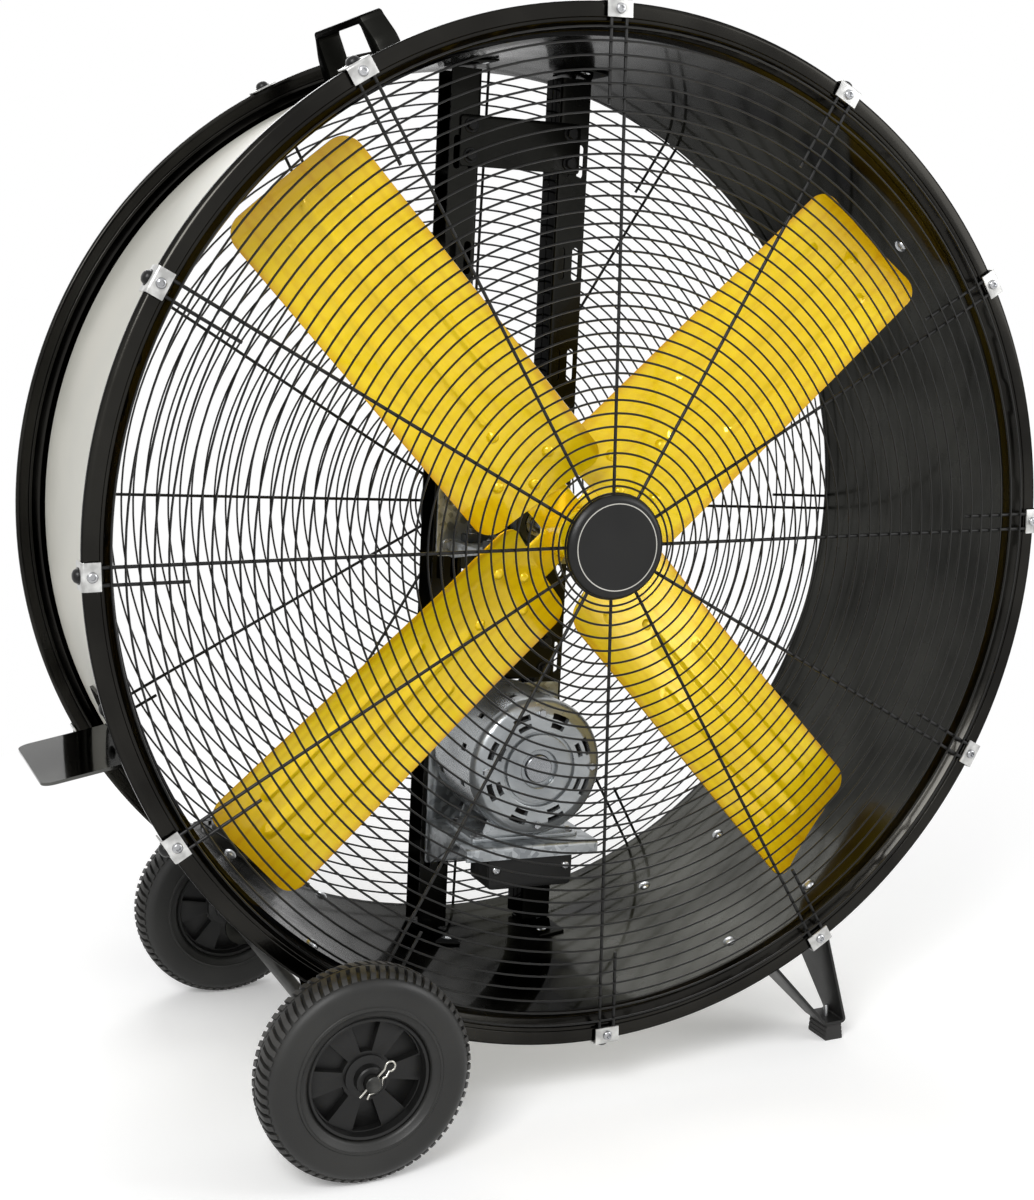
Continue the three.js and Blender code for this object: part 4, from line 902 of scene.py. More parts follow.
def pulley(under_belt, bore, hub, centre, sides):
    """A V-groove under the belt between two flanges, a thin web on the larger pulley and a hub.

    The section is drawn from its rear half, and its front half is the same mirrored at the belt's middle.
    """
    lip, floor = under_belt + 10, under_belt - 1.5
    side = BELT_BACK - BELT_MIDDLE
    end = side + 4.3
    half = [(floor, 3), (under_belt, side - 2.1), (lip, side + 0.9), (lip, end - 0.8), (lip - 0.8, end)]
    inside = floor - 8
    if inside > hub + 6:
        half += [(inside, end), (inside - 1.5, WEB_HALF), (hub + 2, WEB_HALF)]
    half = np.array(half + [(hub, end), (bore, end)])
    return turned(np.vstack((half, half[::-1] * (1, -1))) + (0, BELT_MIDDLE), sides, centre)


def belt_loop(gain):
    """The loop round both pulleys at a height above the belt's inner face."""
    tilt = math.degrees(math.asin((FAN_PULLEY - MOTOR_PULLEY) / MOTOR_DROP))
    around_fan = arc(FAN_PULLEY + gain, -tilt, 180 + tilt, 60)
    return np.vstack((around_fan, arc(MOTOR_PULLEY + gain, 180 + tilt, 360 - tilt, 30, (0, -MOTOR_DROP))))


def belt():
    """A trapezoid, wide side out, swept round the loop. Each corner follows its own offset of the loop."""
    rings = []
    for gain, across in BELT_SECTION:
        loop = belt_loop(gain)
        rings.append(np.column_stack((loop[:, 0], np.full(len(loop), BELT_MIDDLE + across), loop[:, 1])))
    return grid(np.stack(rings, 1), True, True)


WEAVE = (grain, {"Scale": 700, "Detail": 2, "Stretch": (1, 0.3, 1)})
belt_rubber = finish("belt_rubber", (22, 22, 22), (40, 39, 37), (0.62, 0.8), 0.5, relief=WEAVE)
pulley_iron = finish(
    "pulley_iron", (40, 44, 47), (68, 71, 74), (0.36, 0.55), 0.35, relief=CAST_RELIEF, metallic=0.3
)
large = pulley(FAN_PULLEY, 12.8, 26, (0, 0), 96)
small = pulley(MOTOR_PULLEY, 9.8, 19, (0, -MOTOR_DROP), 64)
motor_bar = shaft(9.5, 304.6, SHAFT_BACK, (0, -MOTOR_DROP))
piece("fan_pulley_casting", large, pulley_iron, ["fan_pulley"], "rotor", "cast_iron")
piece("drive_belt_loop", belt(), belt_rubber, ["drive_belt"], slot="black_rubber")
piece("motor_pulley_casting", small, pulley_iron, ["motor_pulley"], "motor_rotor", "cast_iron")
piece("motor_shaft_bar", motor_bar, ground_steel, ["motor_shaft"], "motor_rotor", "bright_steel")


# Motor
# An open drip-proof motor in silver-grey enamel. Its pressed end bells have rings of curved cooling slots,
# and four through bolts clamp them on a rolled body with short slots round it. The windings inside are dark.
MOTOR_RADIUS = 96
MOTOR_CENTRE = (0, -MOTOR_DROP)
BODY_FRONT, BODY_BACK, MOTOR_END = 205.3, 323.3, 339.3
BODY_SHEET = 3
BELL_FACE, BELL_FLOOR, BELL_EDGE = 178.4, 184.6, 204.9  # depths of its face, its grooves' floors and its edge
SLOT_RINGS = [(75, 8, 19), (62.5, 7, 18)]  # radius, width and degrees of the bell's slots
THROUGH_BOLT = [(0, 0), (5.4, 0), (5.4, 4), (4.8, 4.6), (0, 4.6)]


def moved(part, by):
    """A part moved by a distance on each axis."""
    return np.asarray(part[0], float) + by, part[1]


def cut(part, *cutters):
    """A part less its cutters, by a boolean on closed meshes."""
    objects = []
    for points, faces in (part, merged(*cutters)):
        mesh = bpy.data.meshes.new("cut")
        mesh.from_pydata(np.asarray(points).tolist(), [], faces)
        shape = bmesh.new()
        shape.from_mesh(mesh)
        bmesh.ops.remove_doubles(shape, verts=shape.verts, dist=1e-4)
        bmesh.ops.recalc_face_normals(shape, faces=shape.faces)
        shape.to_mesh(mesh)
        shape.free()
        objects.append(bpy.data.objects.new("cut", mesh))
        bpy.context.scene.collection.objects.link(objects[-1])
    modifier = objects[0].modifiers.new("cut", "BOOLEAN")
    modifier.operation, modifier.solver, modifier.object = "DIFFERENCE", "EXACT", objects[1]
    result = objects[0].evaluated_get(bpy.context.evaluated_depsgraph_get()).to_mesh()
    flat = np.zeros(len(result.vertices) * 3)
    result.vertices.foreach_get("co", flat)
    faces = [tuple(face.vertices) for face in result.polygons]
    for made in objects:
        bpy.data.objects.remove(made)
    return flat.reshape(-1, 3), faces


def ring_slot(radius, width, spread, middle):
    """A cutter for the bell: a curved slot round the motor's axis."""
    line = arc(radius, middle - spread / 2, middle + spread / 2, 10)
    return prism(sheet(line, width) + np.array(MOTOR_CENTRE), BELL_FACE - 8, BELL_EDGE, "xzy", bevel=0)


def front_bell():
    """A domed pressing with a raised bearing cover, a groove on each side of it and paired curved slots."""
    r, face, floor, edge = MOTOR_RADIUS, BELL_FACE, BELL_FLOOR, BELL_EDGE
    section = [(19.8, floor), (25.6, floor), (26.4, face + 1.6), (27.4, face + 0.5), (46, face - 0.1)]
    section += [(47.6, face + 0.6), (48.4, floor), (51.6, floor), (52.4, face + 0.6), (53.4, face)]
    dome = [(56, face), (76, face + 1.1), (r - 3, 186), (r, 196), (r, edge)]
    section += rounded(dome, [10, 16, 10], 6).tolist()
    section += [(r - 3, edge), (r - 3, 196), (70, 187.5), (56, 187.4), (54, 188.6), (19.8, 188.6)]
    slots = [ring_slot(*ring, 22.5 + 45 * i) for i in range(8) for ring in SLOT_RINGS]
    spots = [outward(a) * 78 + (0, face + 1.6, -MOTOR_DROP) for a in (0, 90, 180, 270)]
    bolts = [fastener(spot, (0, -1, 0), THROUGH_BOLT, 6) for spot in spots]
    disc = turned([(0, 180), (18, 180), (19, 181), (19, 187), (0, 187)], 48, MOTOR_CENTRE)
    return cut(turned(section, 128, MOTOR_CENTRE), *slots), merged(disc, *bolts)


def motor_shell():
    """The rolled body, cut by two rows of short slots, and the rear bell."""
    r, front, back, end = MOTOR_RADIUS, BODY_FRONT, BODY_BACK, MOTOR_END
    body = turned([(r, front), (r, back), (r - BODY_SHEET, back), (r - BODY_SHEET, front)], 96, MOTOR_CENTRE)
    slots = []
    for i in range(12):
        for y in (front + 14, back - 26):
            slot = turn(prism(rectangle(r - 8, r + 4, -5, 5), y, y + 14, "xzy", bevel=0), 30 * i + 15)
            slots.append(moved(slot, (0, 0, -MOTOR_DROP)))
    dome = [(r, back), (r, back + 3), (r * 0.85, end - 3), (40, end), (10.2, end)]
    inside = [(10.2, end - 34), (30, end - 34), (40, back - 2), (r, back - 2)]
    bell = turned(np.vstack((rounded(dome, [3, 8, 6], 4), inside)), 96, MOTOR_CENTRE)
    return merged(cut(body, *slots), bell)


def windings():
    """A dark core inside the shell, rounded like a coil's end at the front."""
    section = [(24, 192), (40, 189.5), (58, 190), (70, 196), (88, 206), (88, 300), (24, 300)]
    return turned(section, 64, MOTOR_CENTRE)


motor_enamel = finish("motor_enamel", (134, 138, 141), (188, 192, 194), (0.2, 0.3), 0.12, metallic=0.7)
coil_dark = finish("coil_dark", (14, 13, 12), (34, 26, 20), (0.5, 0.7), 0.8, relief=WEAVE)
bell, bell_steel = front_bell()
piece("motor_bell_pressing", bell, motor_enamel, ["motor_front_bell"], slot="motor_paint", crease=32)
piece("motor_bell_bolts", bell_steel, turned_steel, [], slot="bright_steel")
piece("motor_shell", motor_shell(), motor_enamel, ["motor_body"], slot="motor_paint", crease=32)
piece("motor_windings", windings(), coil_dark, [])


# Motor foot
# A cradle of two steel webs welded to the motor's body, on a flat base in the same enamel. Four hexagon
# bolts hold the base on the bracket's shelf through slotted holes.
FOOT_TOP = -103  # below the motor's axis
FOOT_SLOTS = [(x, y) for x in (-66, 66) for y in (228, 300)]


def motor_foot():
    """A base plate, and two cradle webs that follow the body."""
    base = loop_rounded(rectangle(-80, 80, 213.6, 315), 5)
    slots = [slotted(x, y, 9, 4.2) for x, y in FOOT_SLOTS]
    plate = prism(base, FOOT_TOP - 5, FOOT_TOP, "xyz", holes=slots, bevel=0.5)
    cradle = arc(MOTOR_RADIUS + 0.6, -55, -125, 14)
    outline = np.vstack(([(64, FOOT_TOP - 0.5)], cradle, [(-64, FOOT_TOP - 0.5)]))
    webs = [prism(outline, y, y + 5, "xzy", bevel=0.5) for y in (218, 305)]
    return moved(merged(plate, *webs), (0, 0, -MOTOR_DROP))


piece("motor_foot_cradle", motor_foot(), motor_enamel, ["motor_foot"], slot="motor_paint")
heads = [hex_bolt(x, y, FOOT_TOP - MOTOR_DROP, (0, 0, 1)) for x, y in FOOT_SLOTS]
piece("motor_foot_bolts", merged(*heads), bolt_zinc, [], slot="zinc_plate")


# Motor bracket
# A galvanised plate on the uprights with a shelf under the motor's foot. Long slots in both let the motor
# slide down to tighten the belt. The shelf's front edge is folded down.
TENSION_SLOTS = [(x, z) for x in (-81, 81) for z in (-130, 45)]  # from the motor's axis
MOTOR_SHELF = -MOTOR_RADIUS - 12.3


def motor_bracket():
    """The slotted plate and the shelf with its lip."""
    outline = loop_rounded(rectangle(-98, 98, -172, 85), 4)
    holes = [circle(46)] + [slotted(x, z, 4.5, 22) for x, z in TENSION_SLOTS]
    plate = prism(outline, PLATE_FRONT, PLATE_FRONT + PLATE_SHEET, "xzy", holes=holes, bevel=0.4)
    side = [(230, MOTOR_SHELF - 3), (341, MOTOR_SHELF - 3), (341, -168), (326, -168)]
    shelf = folded_shelf(188, PLATE_FRONT, MOTOR_SHELF, 18, 98)
    return moved(merged(plate, shelf, *gussets(side, 94)), (0, 0, -MOTOR_DROP))


piece("motor_bracket_sheet", motor_bracket(), galvanised, ["motor_bracket"], slot="zinc_plate")
heads = [hex_bolt(x, PLATE_FRONT, z - MOTOR_DROP) for x, z in TENSION_SLOTS]
piece("motor_bracket_bolts", merged(*heads), bolt_zinc, [], slot="zinc_plate")


# Control box
# A box moulded in black plastic under the motor's shelf, for the switch and the capacitor. Two screws hold
# its lid, and a cable gland stands below it.
BOX_TOP, BOX_LOW = -112.9, -170.6  # below the motor's axis
BOX_HALF_WIDTH = 63
CABLE_GLAND = [(0, 0), (8, 0), (8, 4), (6, 5.5), (4.5, 7.5), (0, 7.5)]


def control_box():
    """A box with round lower corners, a lid in front with a shallow frame, and a cable gland below."""
    parts = [fastener((36, 226, BOX_LOW + 0.5), (0, 0, -1), CABLE_GLAND, 12)]
    for inset, corner, front, back, bevel in ((0, 8, 196, 256, 1.2), (1, 7, 192, 195.4, 1)):
        half, low = BOX_HALF_WIDTH - inset, BOX_LOW + inset
        outline = [(-half, BOX_TOP), (-half, low), (half, low), (half, BOX_TOP)]
        parts.append(prism(loop_rounded(outline, [1, corner, corner, 1]), front, back, "xzy", bevel=bevel))
    return moved(merged(*parts), (0, 0, -MOTOR_DROP))


moulded_black = finish(
    "moulded_black", (15, 15, 15), (27, 27, 26), (0.38, 0.55), 0.45, relief=MOULDED_GRAIN, specular=0.3
)
piece("control_box_moulding", control_box(), moulded_black, ["control_box"], slot="black_plastic")
lid_screws = [fastener((x, 192.1, -142 - MOTOR_DROP), (0, -1, 0), SOCKET_SCREW, 16) for x in (-52, 52)]
piece("control_box_screws", merged(*lid_screws), screw_steel, [], slot="zinc_plate")


# Handle
# A forged and bent arch of flat bar on top of the drum, powder-coated black. Its grip lies along the axis,
# and its flared legs are bolted through the skin.
HANDLE_ANGLE = 114.5
HANDLE_MIDDLE = 245
HANDLE_BASE, HANDLE_TOP = 614.4, 691.2  # from the drum's axis
HANDLE_HALF_WIDTH = 15


def handle():
    """Half of the arch's outline mirrored about its middle: flared legs, sloped shoulders and a flat grip."""
    base, top = HANDLE_BASE, HANDLE_TOP
    half = [(78, top - 9), (82, top - 13), (91, base), (125, base), (114, base + 44), (95, top - 8)]
    half = np.array(half + [(92.6, top - 2.4), (87, top)])
    outline = np.vstack((half, half[::-1] * (-1, 1))) + (HANDLE_MIDDLE, 0)
    radii = [5, 3, 0.5, 0.5, 34, 5, 3, 3]
    outline = loop_rounded(outline, radii + radii[::-1], 5)
    return turn(prism(outline, -HANDLE_HALF_WIDTH, HANDLE_HALF_WIDTH, "yxz", bevel=1.6), HANDLE_ANGLE)


powder_black = finish(
    "powder_black", (22, 22, 21), (34, 34, 32), (0.26, 0.4), 0.3,
    relief=MOULDED_GRAIN, metallic=1, edge=0.34,
)
piece("handle_arch", handle(), powder_black, ["handle"], slot="black_paint")


# Step plate
# A gloss black plate folded from one sheet. Its leg is bolted on the drum's skin, and its tread stands out
# for a shoe that tips the fan back on to its wheels.
STEP_ANGLE = 207
STEP_SLOPE = 12
STEP_SHEET = 4
STEP_FRONT, STEP_BACK = 145, 345
TREAD_END = 120.8  # out from the fold


def step_plate():
    """A leg along the skin, a round fold and a tread with round outer corners."""
    leg = arc(SKIN_RADIUS + STEP_SHEET / 2 + 0.3, STEP_ANGLE - 5.4, STEP_ANGLE, 8)
    slope = math.radians(180 + STEP_SLOPE)
    way, fold = np.array((math.cos(slope), math.sin(slope))), leg[-1]
    bend = rounded(np.vstack((leg, [fold + way * 10])), [0] * (len(leg) - 2) + [4], 5)
    flange = prism(sheet(bend, STEP_SHEET), STEP_FRONT, STEP_BACK, "xzy", bevel=0)
    front, back = STEP_FRONT + 1, STEP_BACK - 1
    outline = rounded([(10, front), (TREAD_END, front), (TREAD_END, back), (10, back)], 16, 6)
    points, faces = prism(outline, -STEP_SHEET / 2, STEP_SHEET / 2, "xyz", bevel=0)
    u, y, w = points.T
    x, z = fold[0] + u * way[0] - w * way[1], fold[1] + u * way[1] + w * way[0]
    return merged(flange, (np.column_stack((x, y, z)), faces))


step_black = finish(
    "step_black", (62, 62, 59), (82, 82, 79), (0.08, 0.16), 0.1, metallic=1, coat=0.6, edge=0.4
)
piece("step_plate_sheet", step_plate(), step_black, ["step_plate"], slot="black_paint", crease=30)
SHEET_TOP = SKIN_RADIUS + 4.3  # outside of a strap that lies on the skin
heads = [fastener(outward(a) * SHEET_TOP + (0, y, 0), outward(a), DOME_HEAD) for a, y in STEP_BOLTS]
piece("step_plate_bolts", merged(*heads), bolt_black, [], slot="black_plastic")


# Tyres
# Solid black rubber tyres with two rows of slanted lugs and a thin rib between them. The sidewall has a
# raised ring near its bead.
AXLE_CENTRE = (-357.95, -598.08)
WHEEL_RADIUS = 131.9
WHEEL_DEPTHS = {"front": -79, "rear": 569}
TREAD_LUGS = 68
LUG_START, LUG_END = 2.6, 26  # from the tyre's middle
LUG_HEIGHT = 7
LUG_SHARE = 0.58  # of the pitch between two lugs
LUG_SLANT = 0.5  # of a pitch, from a lug's inner end to its outer end


def tyre(middle):
    """The tyre's rounded section, with a raised ring on each sidewall and a thin rib round its middle."""
    half = [(76.4, 25), (80, 28.5), (86, 30), (87, 31.6), (90, 31.8), (91, 30.6), (100, 32.4), (110, 32.8)]
    half += [(116, 31.6), (121, 28.4), (124.6, 23), (126.2, 12), (126.6, 2.2), (WHEEL_RADIUS - 0.6, 1.4)]
    half = np.array(half)
    return turned(np.vstack((half, half[::-1] * (1, -1))) + (0, middle), 144, AXLE_CENTRE)


def tread(middle):
    """Slanted lugs in two rows: each is a bent slab from its foot in the rubber to the tread's radius."""
    depth = np.linspace(LUG_START, LUG_END, 6)
    radius = WHEEL_RADIUS - np.array((0, 0.2, 0.6, 1.3, 2.9, 7.4))
    foot = np.column_stack((radius - LUG_HEIGHT, depth * 0.95))
    section = np.vstack((np.column_stack((radius, depth)), foot[::-1]))
    slant = LUG_SLANT * (section[:, 1] - LUG_START) / (LUG_END - LUG_START)
    ends = np.array((-LUG_SHARE / 2, LUG_SHARE / 2))
    parts = []
    for side, offset in ((-1, 0), (1, 0.5)):
        steps = np.arange(TREAD_LUGS)[:, None, None] + offset + ends[None, :, None]
        a = (steps + slant[None, None, :]) * 2 * math.pi / TREAD_LUGS
        x = AXLE_CENTRE[0] + section[:, 0] * np.cos(a)
        z = AXLE_CENTRE[1] + section[:, 0] * np.sin(a)
        y = np.broadcast_to(side * section[:, 1] + middle, x.shape)
        parts += [grid(lug, False, True, True) for lug in np.stack((x, y, z), -1)]
    return merged(*parts)


RUBBER_RELIEF = (grain, {"Scale": 500, "Detail": 4})
tyre_rubber = finish(
    "tyre_rubber", (18, 18, 17), (34, 34, 32), (0.36, 0.56), 0.4, relief=RUBBER_RELIEF, specular=0.4
)
tread_rubber = finish(
    "tread_rubber", (28, 28, 27), (50, 49, 47), (0.45, 0.66), 0.4, relief=RUBBER_RELIEF, specular=0.4
)
for end, middle in WHEEL_DEPTHS.items():
    body = end + "_wheel"
    piece(end + "_tyre_rubber", tyre(middle), tyre_rubber, [end + "_tyre"], body, "tyre_rubber", 0, 50)
    piece(end + "_tyre_tread", tread(middle), tread_rubber, [end + "_tyre"], body, "tyre_rubber", 0, 30)


# Wheel rims
# Moulded black plastic rims. A dished disc has six wedge-shaped pockets between its spokes, with a thin web
# behind them, and the hub stands proud of it.
WHEEL_BORE = 10.7
POCKET_INNER, POCKET_OUTER = 31, 68


def wheel_rim(middle):
    """The rolled outer ring, the pocketed disc, the web and the stepped hub."""
    pockets = []
    for a in range(30, 360, 60):
        outline = np.vstack((arc(POCKET_OUTER, a - 15.5, a + 15.5, 8), arc(POCKET_INNER, a + 13, a - 13, 4)))
        pockets.append(outline + np.array(AXLE_CENTRE))
    bore = circle(WHEEL_BORE, 48, AXLE_CENTRE)
    outside = circle(72, 144, AXLE_CENTRE)
    disc = prism(outside, middle - 13, middle + 13, "xzy", holes=[bore, *pockets], bevel=1)
    web = prism(arc(70, 0, 357.5, 71, AXLE_CENTRE), middle - 2, middle + 2, "xzy", holes=[bore], bevel=0.2)
    ring = np.array([(69.6, -20), (71, -24), (74, -25), (76, -23)])
    hub = np.array([(WHEEL_BORE, -33), (16.4, -33), (18, -31.4), (18.4, -20), (27, -17)])
    rings = [
        turned(np.vstack((half, half[::-1] * (1, -1))) + (0, middle), sides, AXLE_CENTRE)
        for half, sides in ((ring, 96), (hub, 64))
    ]
    return merged(*rings, disc, web)


wheel_plastic = finish(
    "wheel_plastic", (14, 14, 14), (27, 27, 26), (0.34, 0.5), 0.35, relief=MOULDED_GRAIN, specular=0.3
)
for end, middle in WHEEL_DEPTHS.items():
    label, body = end + "_wheel_rim", end + "_wheel"
    piece(end + "_rim_moulding", wheel_rim(middle), wheel_plastic, [label], body, "black_plastic", 0)


# Axle and split pins
# A steel bar, coloured dark grey all over, runs under the drum through both brackets. A spring pin through
# each end keeps its
# wheel on: one leg goes through the bar and the other loops round it.
PIN_LEAN = 46
PIN_DEPTHS = {"front": -114, "rear": 604}
PIN_WIRE = 1.3
AXLE_RADIUS = 10
AXLE_FRONT, AXLE_BACK = -121, 611


def split_pin(depth):
    """A straight leg, a round eye and a waved leg, as one wire in the plane across the axle."""
    eye = arc(6, -60, 210, 16, (3, 28))
    waved = [(8, 16), (5.5, 11), (10.5, 6), (12.6, 0), (10.5, -6), (6.5, -12), (9, -18)]
    line = np.vstack(([(0, -22), (0, 21)], eye[::-1], rounded(waved, 4, 4)))
    points = np.column_stack((line[:, 0], np.zeros(len(line)), line[:, 1]))
    wire = turn(tube(points, PIN_WIRE, (0, 1, 0), 10), -PIN_LEAN)
    return moved(wire, (AXLE_CENTRE[0], depth, AXLE_CENTRE[1]))


# The bar is coloured a dark grey, far darker than the zinc plate on the bolts.
dark_axle_metal = finish(
    "dark_axle_metal", (40, 40, 39), (74, 74, 72), (0.34, 0.5), 0.15,
    relief=LATHE_LINES, mask=SPANGLE, metallic=0.85,
)
bar = shaft(AXLE_RADIUS, AXLE_FRONT, AXLE_BACK, AXLE_CENTRE)
piece("axle_bar", bar, dark_axle_metal, ["axle"], slot="zinc_plate", roll=0)
for end, depth in PIN_DEPTHS.items():
    label = end + "_split_pin"
    piece(label + "_wire", split_pin(depth), silver_ring, [label], slot="zinc_plate", roll=0)


# Axle brackets
# Each is a black steel gusset that carries the axle, welded to a curved strip. The strip is bolted to the
# skin.
AXLE_ANGLE = 239.1
BRACKET_FACES = {"front": (30, 30), "rear": (456, 428)}  # depths of the gusset and of the strip
BRACKET_HALF_ANGLE = 12
STRIP_WIDTH = 32
HEX_NUT = [(0, 0), (8.2, 0), (8.2, 5.4), (7.4, 6.2), (0, 6.2)]


def axle_bracket(face, strip):
    """The gusset round the axle's boss, holed for the bar, and the curved strip."""
    start, end = AXLE_ANGLE - BRACKET_HALF_ANGLE, AXLE_ANGLE + BRACKET_HALF_ANGLE
    boss = arc(26, AXLE_ANGLE - 80, AXLE_ANGLE + 80, 24, AXLE_CENTRE)
    seat = arc(SKIN_RADIUS + 0.5, end, start, 24)
    hole = circle(AXLE_RADIUS + 0.4, 48, AXLE_CENTRE)
    gusset = prism(np.vstack((seat, boss)), face, face + PLATE_SHEET, "xzy", holes=[hole], bevel=0.5)
    band = np.vstack((arc(SKIN_RADIUS + 0.3, start, end, 24), arc(SHEET_TOP, end, start, 24)))
    return merged(gusset, prism(band, strip, strip + STRIP_WIDTH, "xzy", bevel=0.5))


def nuts(bolts):
    """A washer and a hexagon nut on each bolt, outside the strap that it holds on the skin."""
    spots = [(outward(a) * SHEET_TOP + (0, y, 0), outward(a)) for a, y in bolts]
    return merged(*(fastener(*spot, *shape) for spot in spots for shape in ((WASHER, 24), (HEX_NUT, 6))))


for end, (face, strip) in BRACKET_FACES.items():
    label = end + "_axle_bracket"
    piece(label + "_plate", axle_bracket(face, strip), frame_black, [label], slot="black_paint", roll=0)
    piece(label + "_nuts", nuts(AXLE_BOLTS[end]), bolt_zinc, [], slot="zinc_plate")


# Feet
# Each foot is one black strap, folded from the skin down to a sole and back up. It widens towards its ends,
# which are bolted on the skin, and a ribbed rubber block is fixed under the sole.
FOOT_ANGLE = 298.4
FOOT_SPREAD = 5.2
FOOT_TAB = 4
FOOT_SHEET = 4
FOOT_RISE = 215.4  # from the sole to the higher tab
FOOT_INSETS = (40, 28)  # of the strap's near edge from the rim's face, at the sole and at the higher tab
FOOT_WIDTHS = (50, 150)  # at the sole and at the higher tab
SOLE_HEIGHT = -703.7
SOLE_MIDDLE = 380.5
PAD_MIDDLES = {"front": 65, "rear": 425}
PAD_HALF_WIDTH = 22
SOLE_BOLT = [(0, 0), (3.2, 0), (3.2, 15), (2.6, 15.8), (0, 15.8)]


def foot(end):
    """The strap with small round folds. Its inset and its width are linear in the height over the sole."""
    lie = SKIN_RADIUS + FOOT_SHEET / 2 + 0.3
    left = arc(lie, FOOT_ANGLE - FOOT_SPREAD - FOOT_TAB, FOOT_ANGLE - FOOT_SPREAD, 5)
    right = arc(lie, FOOT_ANGLE + FOOT_SPREAD, FOOT_ANGLE + FOOT_SPREAD + FOOT_TAB, 5)
    sole = [(SOLE_MIDDLE - 16, SOLE_HEIGHT), (SOLE_MIDDLE + 16, SOLE_HEIGHT)]
    line = rounded(np.vstack((left, sole, right)), [0] * 4 + [4] * 4 + [0] * 4, 4)
    points, faces = prism(sheet(line, FOOT_SHEET), 0, 100, "xzy", bevel=0.5)
    rise = (points[:, 2] - SOLE_HEIGHT) / FOOT_RISE
    inset, width = (low + (high - low) * rise for low, high in (FOOT_INSETS, FOOT_WIDTHS))
    back = inset + points[:, 1] / 100 * width
    points[:, 1] = back if end == "front" else DRUM_DEPTH - back
    return points, faces


def foot_pad(middle):
    """A tapered rubber block with three grooves along its sides."""
    side = [(12, -706.1), (12.2, -710), (11.4, -711), (12.6, -712), (12.8, -716), (12, -717), (13.2, -718)]
    side = np.array(side + [(13.6, -722), (12.8, -723), (14, -724), (14, -729), (13, -730)])
    outline = np.vstack((side, side[::-1] * (-1, 1))) + (SOLE_MIDDLE, 0)
    return prism(outline, middle - PAD_HALF_WIDTH, middle + PAD_HALF_WIDTH, "xzy", bevel=0.5)


foot_black = finish(
    "foot_black", (18, 18, 18), (29, 29, 28), (0.34, 0.5), 0.3, relief=MOULDED_GRAIN, specular=0.3
)
pad_rubber = finish("pad_rubber", (19, 19, 19), (38, 37, 36), (0.65, 0.85), 0.5, relief=RUBBER_RELIEF)
for end, middle in PAD_MIDDLES.items():
    label = end + "_foot"
    piece(label + "_strap", foot(end), foot_black, [label], slot="black_paint", roll=0)
    piece(label + "_rubber", foot_pad(middle), pad_rubber, [label + "_pad"], slot="black_rubber", roll=0)
    piece(label + "_nuts", nuts(FOOT_BOLTS[end]), bolt_zinc, [], slot="zinc_plate")
    screw = fastener((SOLE_MIDDLE, middle, SOLE_HEIGHT + FOOT_SHEET / 2), (0, 0, 1), SOLE_BOLT)
    piece(label + "_screw", screw, bolt_zinc, [], slot="zinc_plate", roll=0)


# Stage
# A pale floor that takes the fan's shadow, three soft lamps and a plain world. Floor and world are white to
# the camera and in mirrors.
FLOOR_REACH = 30
FLOOR_GLOW = 0.2
SHADOW_REACH = (0.95, 1.9)  # metres over which the floor turns into plain white
WORLD_LIGHT = 0.42


def seen_rays(nodes, links):
    """1 for camera, glossy and transmission rays, and 0 for the others."""
    rays = nodes.new("ShaderNodeLightPath")
    total = rays.outputs["Is Camera Ray"]
    for label in ("Is Glossy Ray", "Is Transmission Ray"):
        added = nodes.new("ShaderNodeMath")
        added.operation = "ADD"
        added.use_clamp = True
        links.new(total, added.inputs[0])
        links.new(rays.outputs[label], added.inputs[1])
        total = added.outputs[0]
    return total


def stage_white():
    """A diffuse floor with a little glow near the fan, which turns into plain white farther off."""
    made = bpy.data.materials.new("stage_white")
    made.use_nodes = True
    nodes, links = made.node_tree.nodes, made.node_tree.links
    nodes.remove(nodes["Principled BSDF"])
    matt = nodes.new("ShaderNodeBsdfDiffuse")
    matt.inputs["Color"].default_value = (0.9, 0.9, 0.9, 1)
    glow = nodes.new("ShaderNodeEmission")
    glow.inputs["Strength"].default_value = FLOOR_GLOW
    near = nodes.new("ShaderNodeAddShader")
    links.new(matt.outputs[0], near.inputs[0])
    links.new(glow.outputs[0], near.inputs[1])
    white = nodes.new("ShaderNodeEmission")
    white.inputs["Strength"].default_value = 1
    where = nodes.new("ShaderNodeTexCoord")
    distance = nodes.new("ShaderNodeVectorMath")
    distance.operation = "LENGTH"
    links.new(where.outputs["Object"], distance.inputs[0])
    far = mapped_range(nodes, links, distance.outputs["Value"], *SHADOW_REACH)
    both = nodes.new("ShaderNodeMath")
    both.operation = "MULTIPLY"
    links.new(far, both.inputs[0])
    links.new(seen_rays(nodes, links), both.inputs[1])
    mix = nodes.new("ShaderNodeMixShader")
    links.new(both.outputs[0], mix.inputs[0])
    links.new(near.outputs[0], mix.inputs[1])
    links.new(white.outputs[0], mix.inputs[2])
    links.new(mix.outputs[0], nodes["Material Output"].inputs["Surface"])
    return made


floor_mesh = bpy.data.meshes.new("floor")
corners = [(x * FLOOR_REACH, y * FLOOR_REACH, 0) for x, y in ((-1, -1), (1, -1), (1, 1), (-1, 1))]
floor_mesh.from_pydata(corners, [], [(0, 1, 2, 3)])
floor_mesh.materials.append(stage_white())
floor = bpy.data.objects.new("floor", floor_mesh)
bpy.context.scene.collection.objects.link(floor)

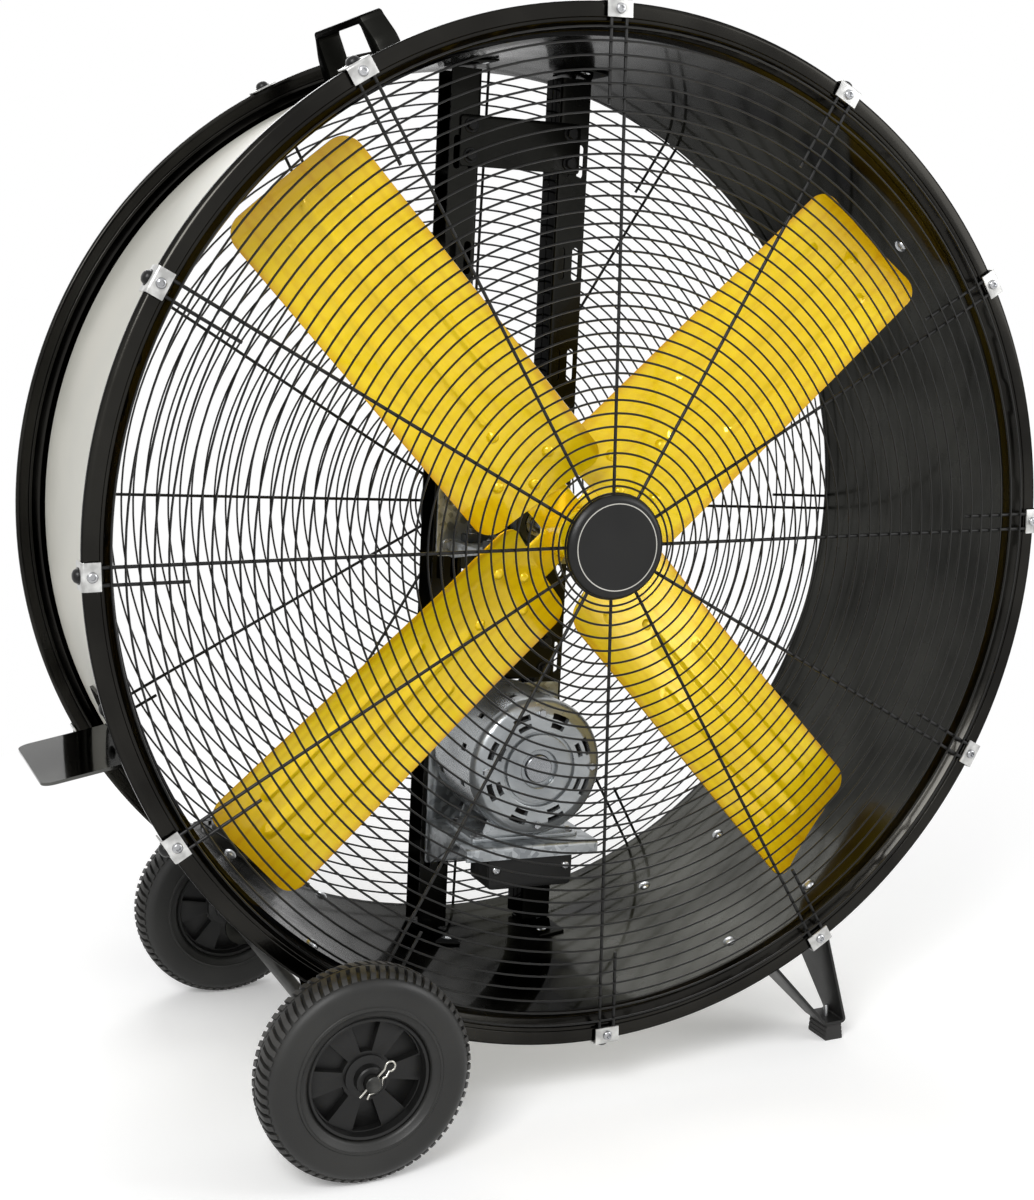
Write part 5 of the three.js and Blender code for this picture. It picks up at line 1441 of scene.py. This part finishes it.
world = bpy.data.worlds.new("world")
bpy.context.scene.world = world
world.use_nodes = True
sky = world.node_tree
dim = sky.nodes["Background"]
dim.inputs["Color"].default_value = (1, 1, 1, 1)
dim.inputs["Strength"].default_value = WORLD_LIGHT
white = sky.nodes.new("ShaderNodeBackground")
white.inputs["Color"].default_value = (1, 1, 1, 1)
white.inputs["Strength"].default_value = 1
pick = sky.nodes.new("ShaderNodeMixShader")
sky.links.new(seen_rays(sky.nodes, sky.links), pick.inputs[0])
sky.links.new(dim.outputs[0], pick.inputs[1])
sky.links.new(white.outputs[0], pick.inputs[2])
sky.links.new(pick.outputs[0], sky.nodes["World Output"].inputs["Surface"])


def lamp(name, spot, target, size, power):
    """A square soft lamp that faces a point."""
    light = bpy.data.lights.new(name, "AREA")
    light.size = size
    light.energy = power
    made = bpy.data.objects.new(name, light)
    bpy.context.scene.collection.objects.link(made)
    made.location = spot
    direction = Vector(target) - Vector(spot)
    made.rotation_euler = direction.to_track_quat("-Z", "Y").to_euler()
    return made


lamp("key", (-2.2, -2.8, 3.0), (0, 0, 0.7), 1.6, 120)
lamp("fill", (3.2, -2.2, 2.2), (0, 0, 0.7), 2.4, 60)
lamp("back", (0.5, 3.4, 3.0), (0, 0, 0.8), 2.4, 70)


# Camera
# The photograph's viewpoint, found from the guard clips and both rims. The lens is in millimetres, and the
# matrix holds the camera's right, up and back directions and its place in metres.
CAMERA_LENS = 64.623
CAMERA_PLACE = (
    (0.9177348, 0.0652273, -0.3918013, -1.003928),
    (-0.397173, 0.160791, -0.9035485, -2.290322),
    (0.0040621, 0.9848308, 0.17347, 1.062768),
    (0, 0, 0, 1),
)
camera = bpy.data.objects.new("camera", bpy.data.cameras.new("camera"))
bpy.context.scene.collection.objects.link(camera)
camera.data.sensor_fit = "HORIZONTAL"
camera.data.sensor_width = 36
camera.data.lens = CAMERA_LENS
camera.data.clip_end = 100
camera.matrix_world = Matrix(CAMERA_PLACE)
bpy.context.scene.camera = camera
bpy.context.scene.view_settings.view_transform = "Standard"
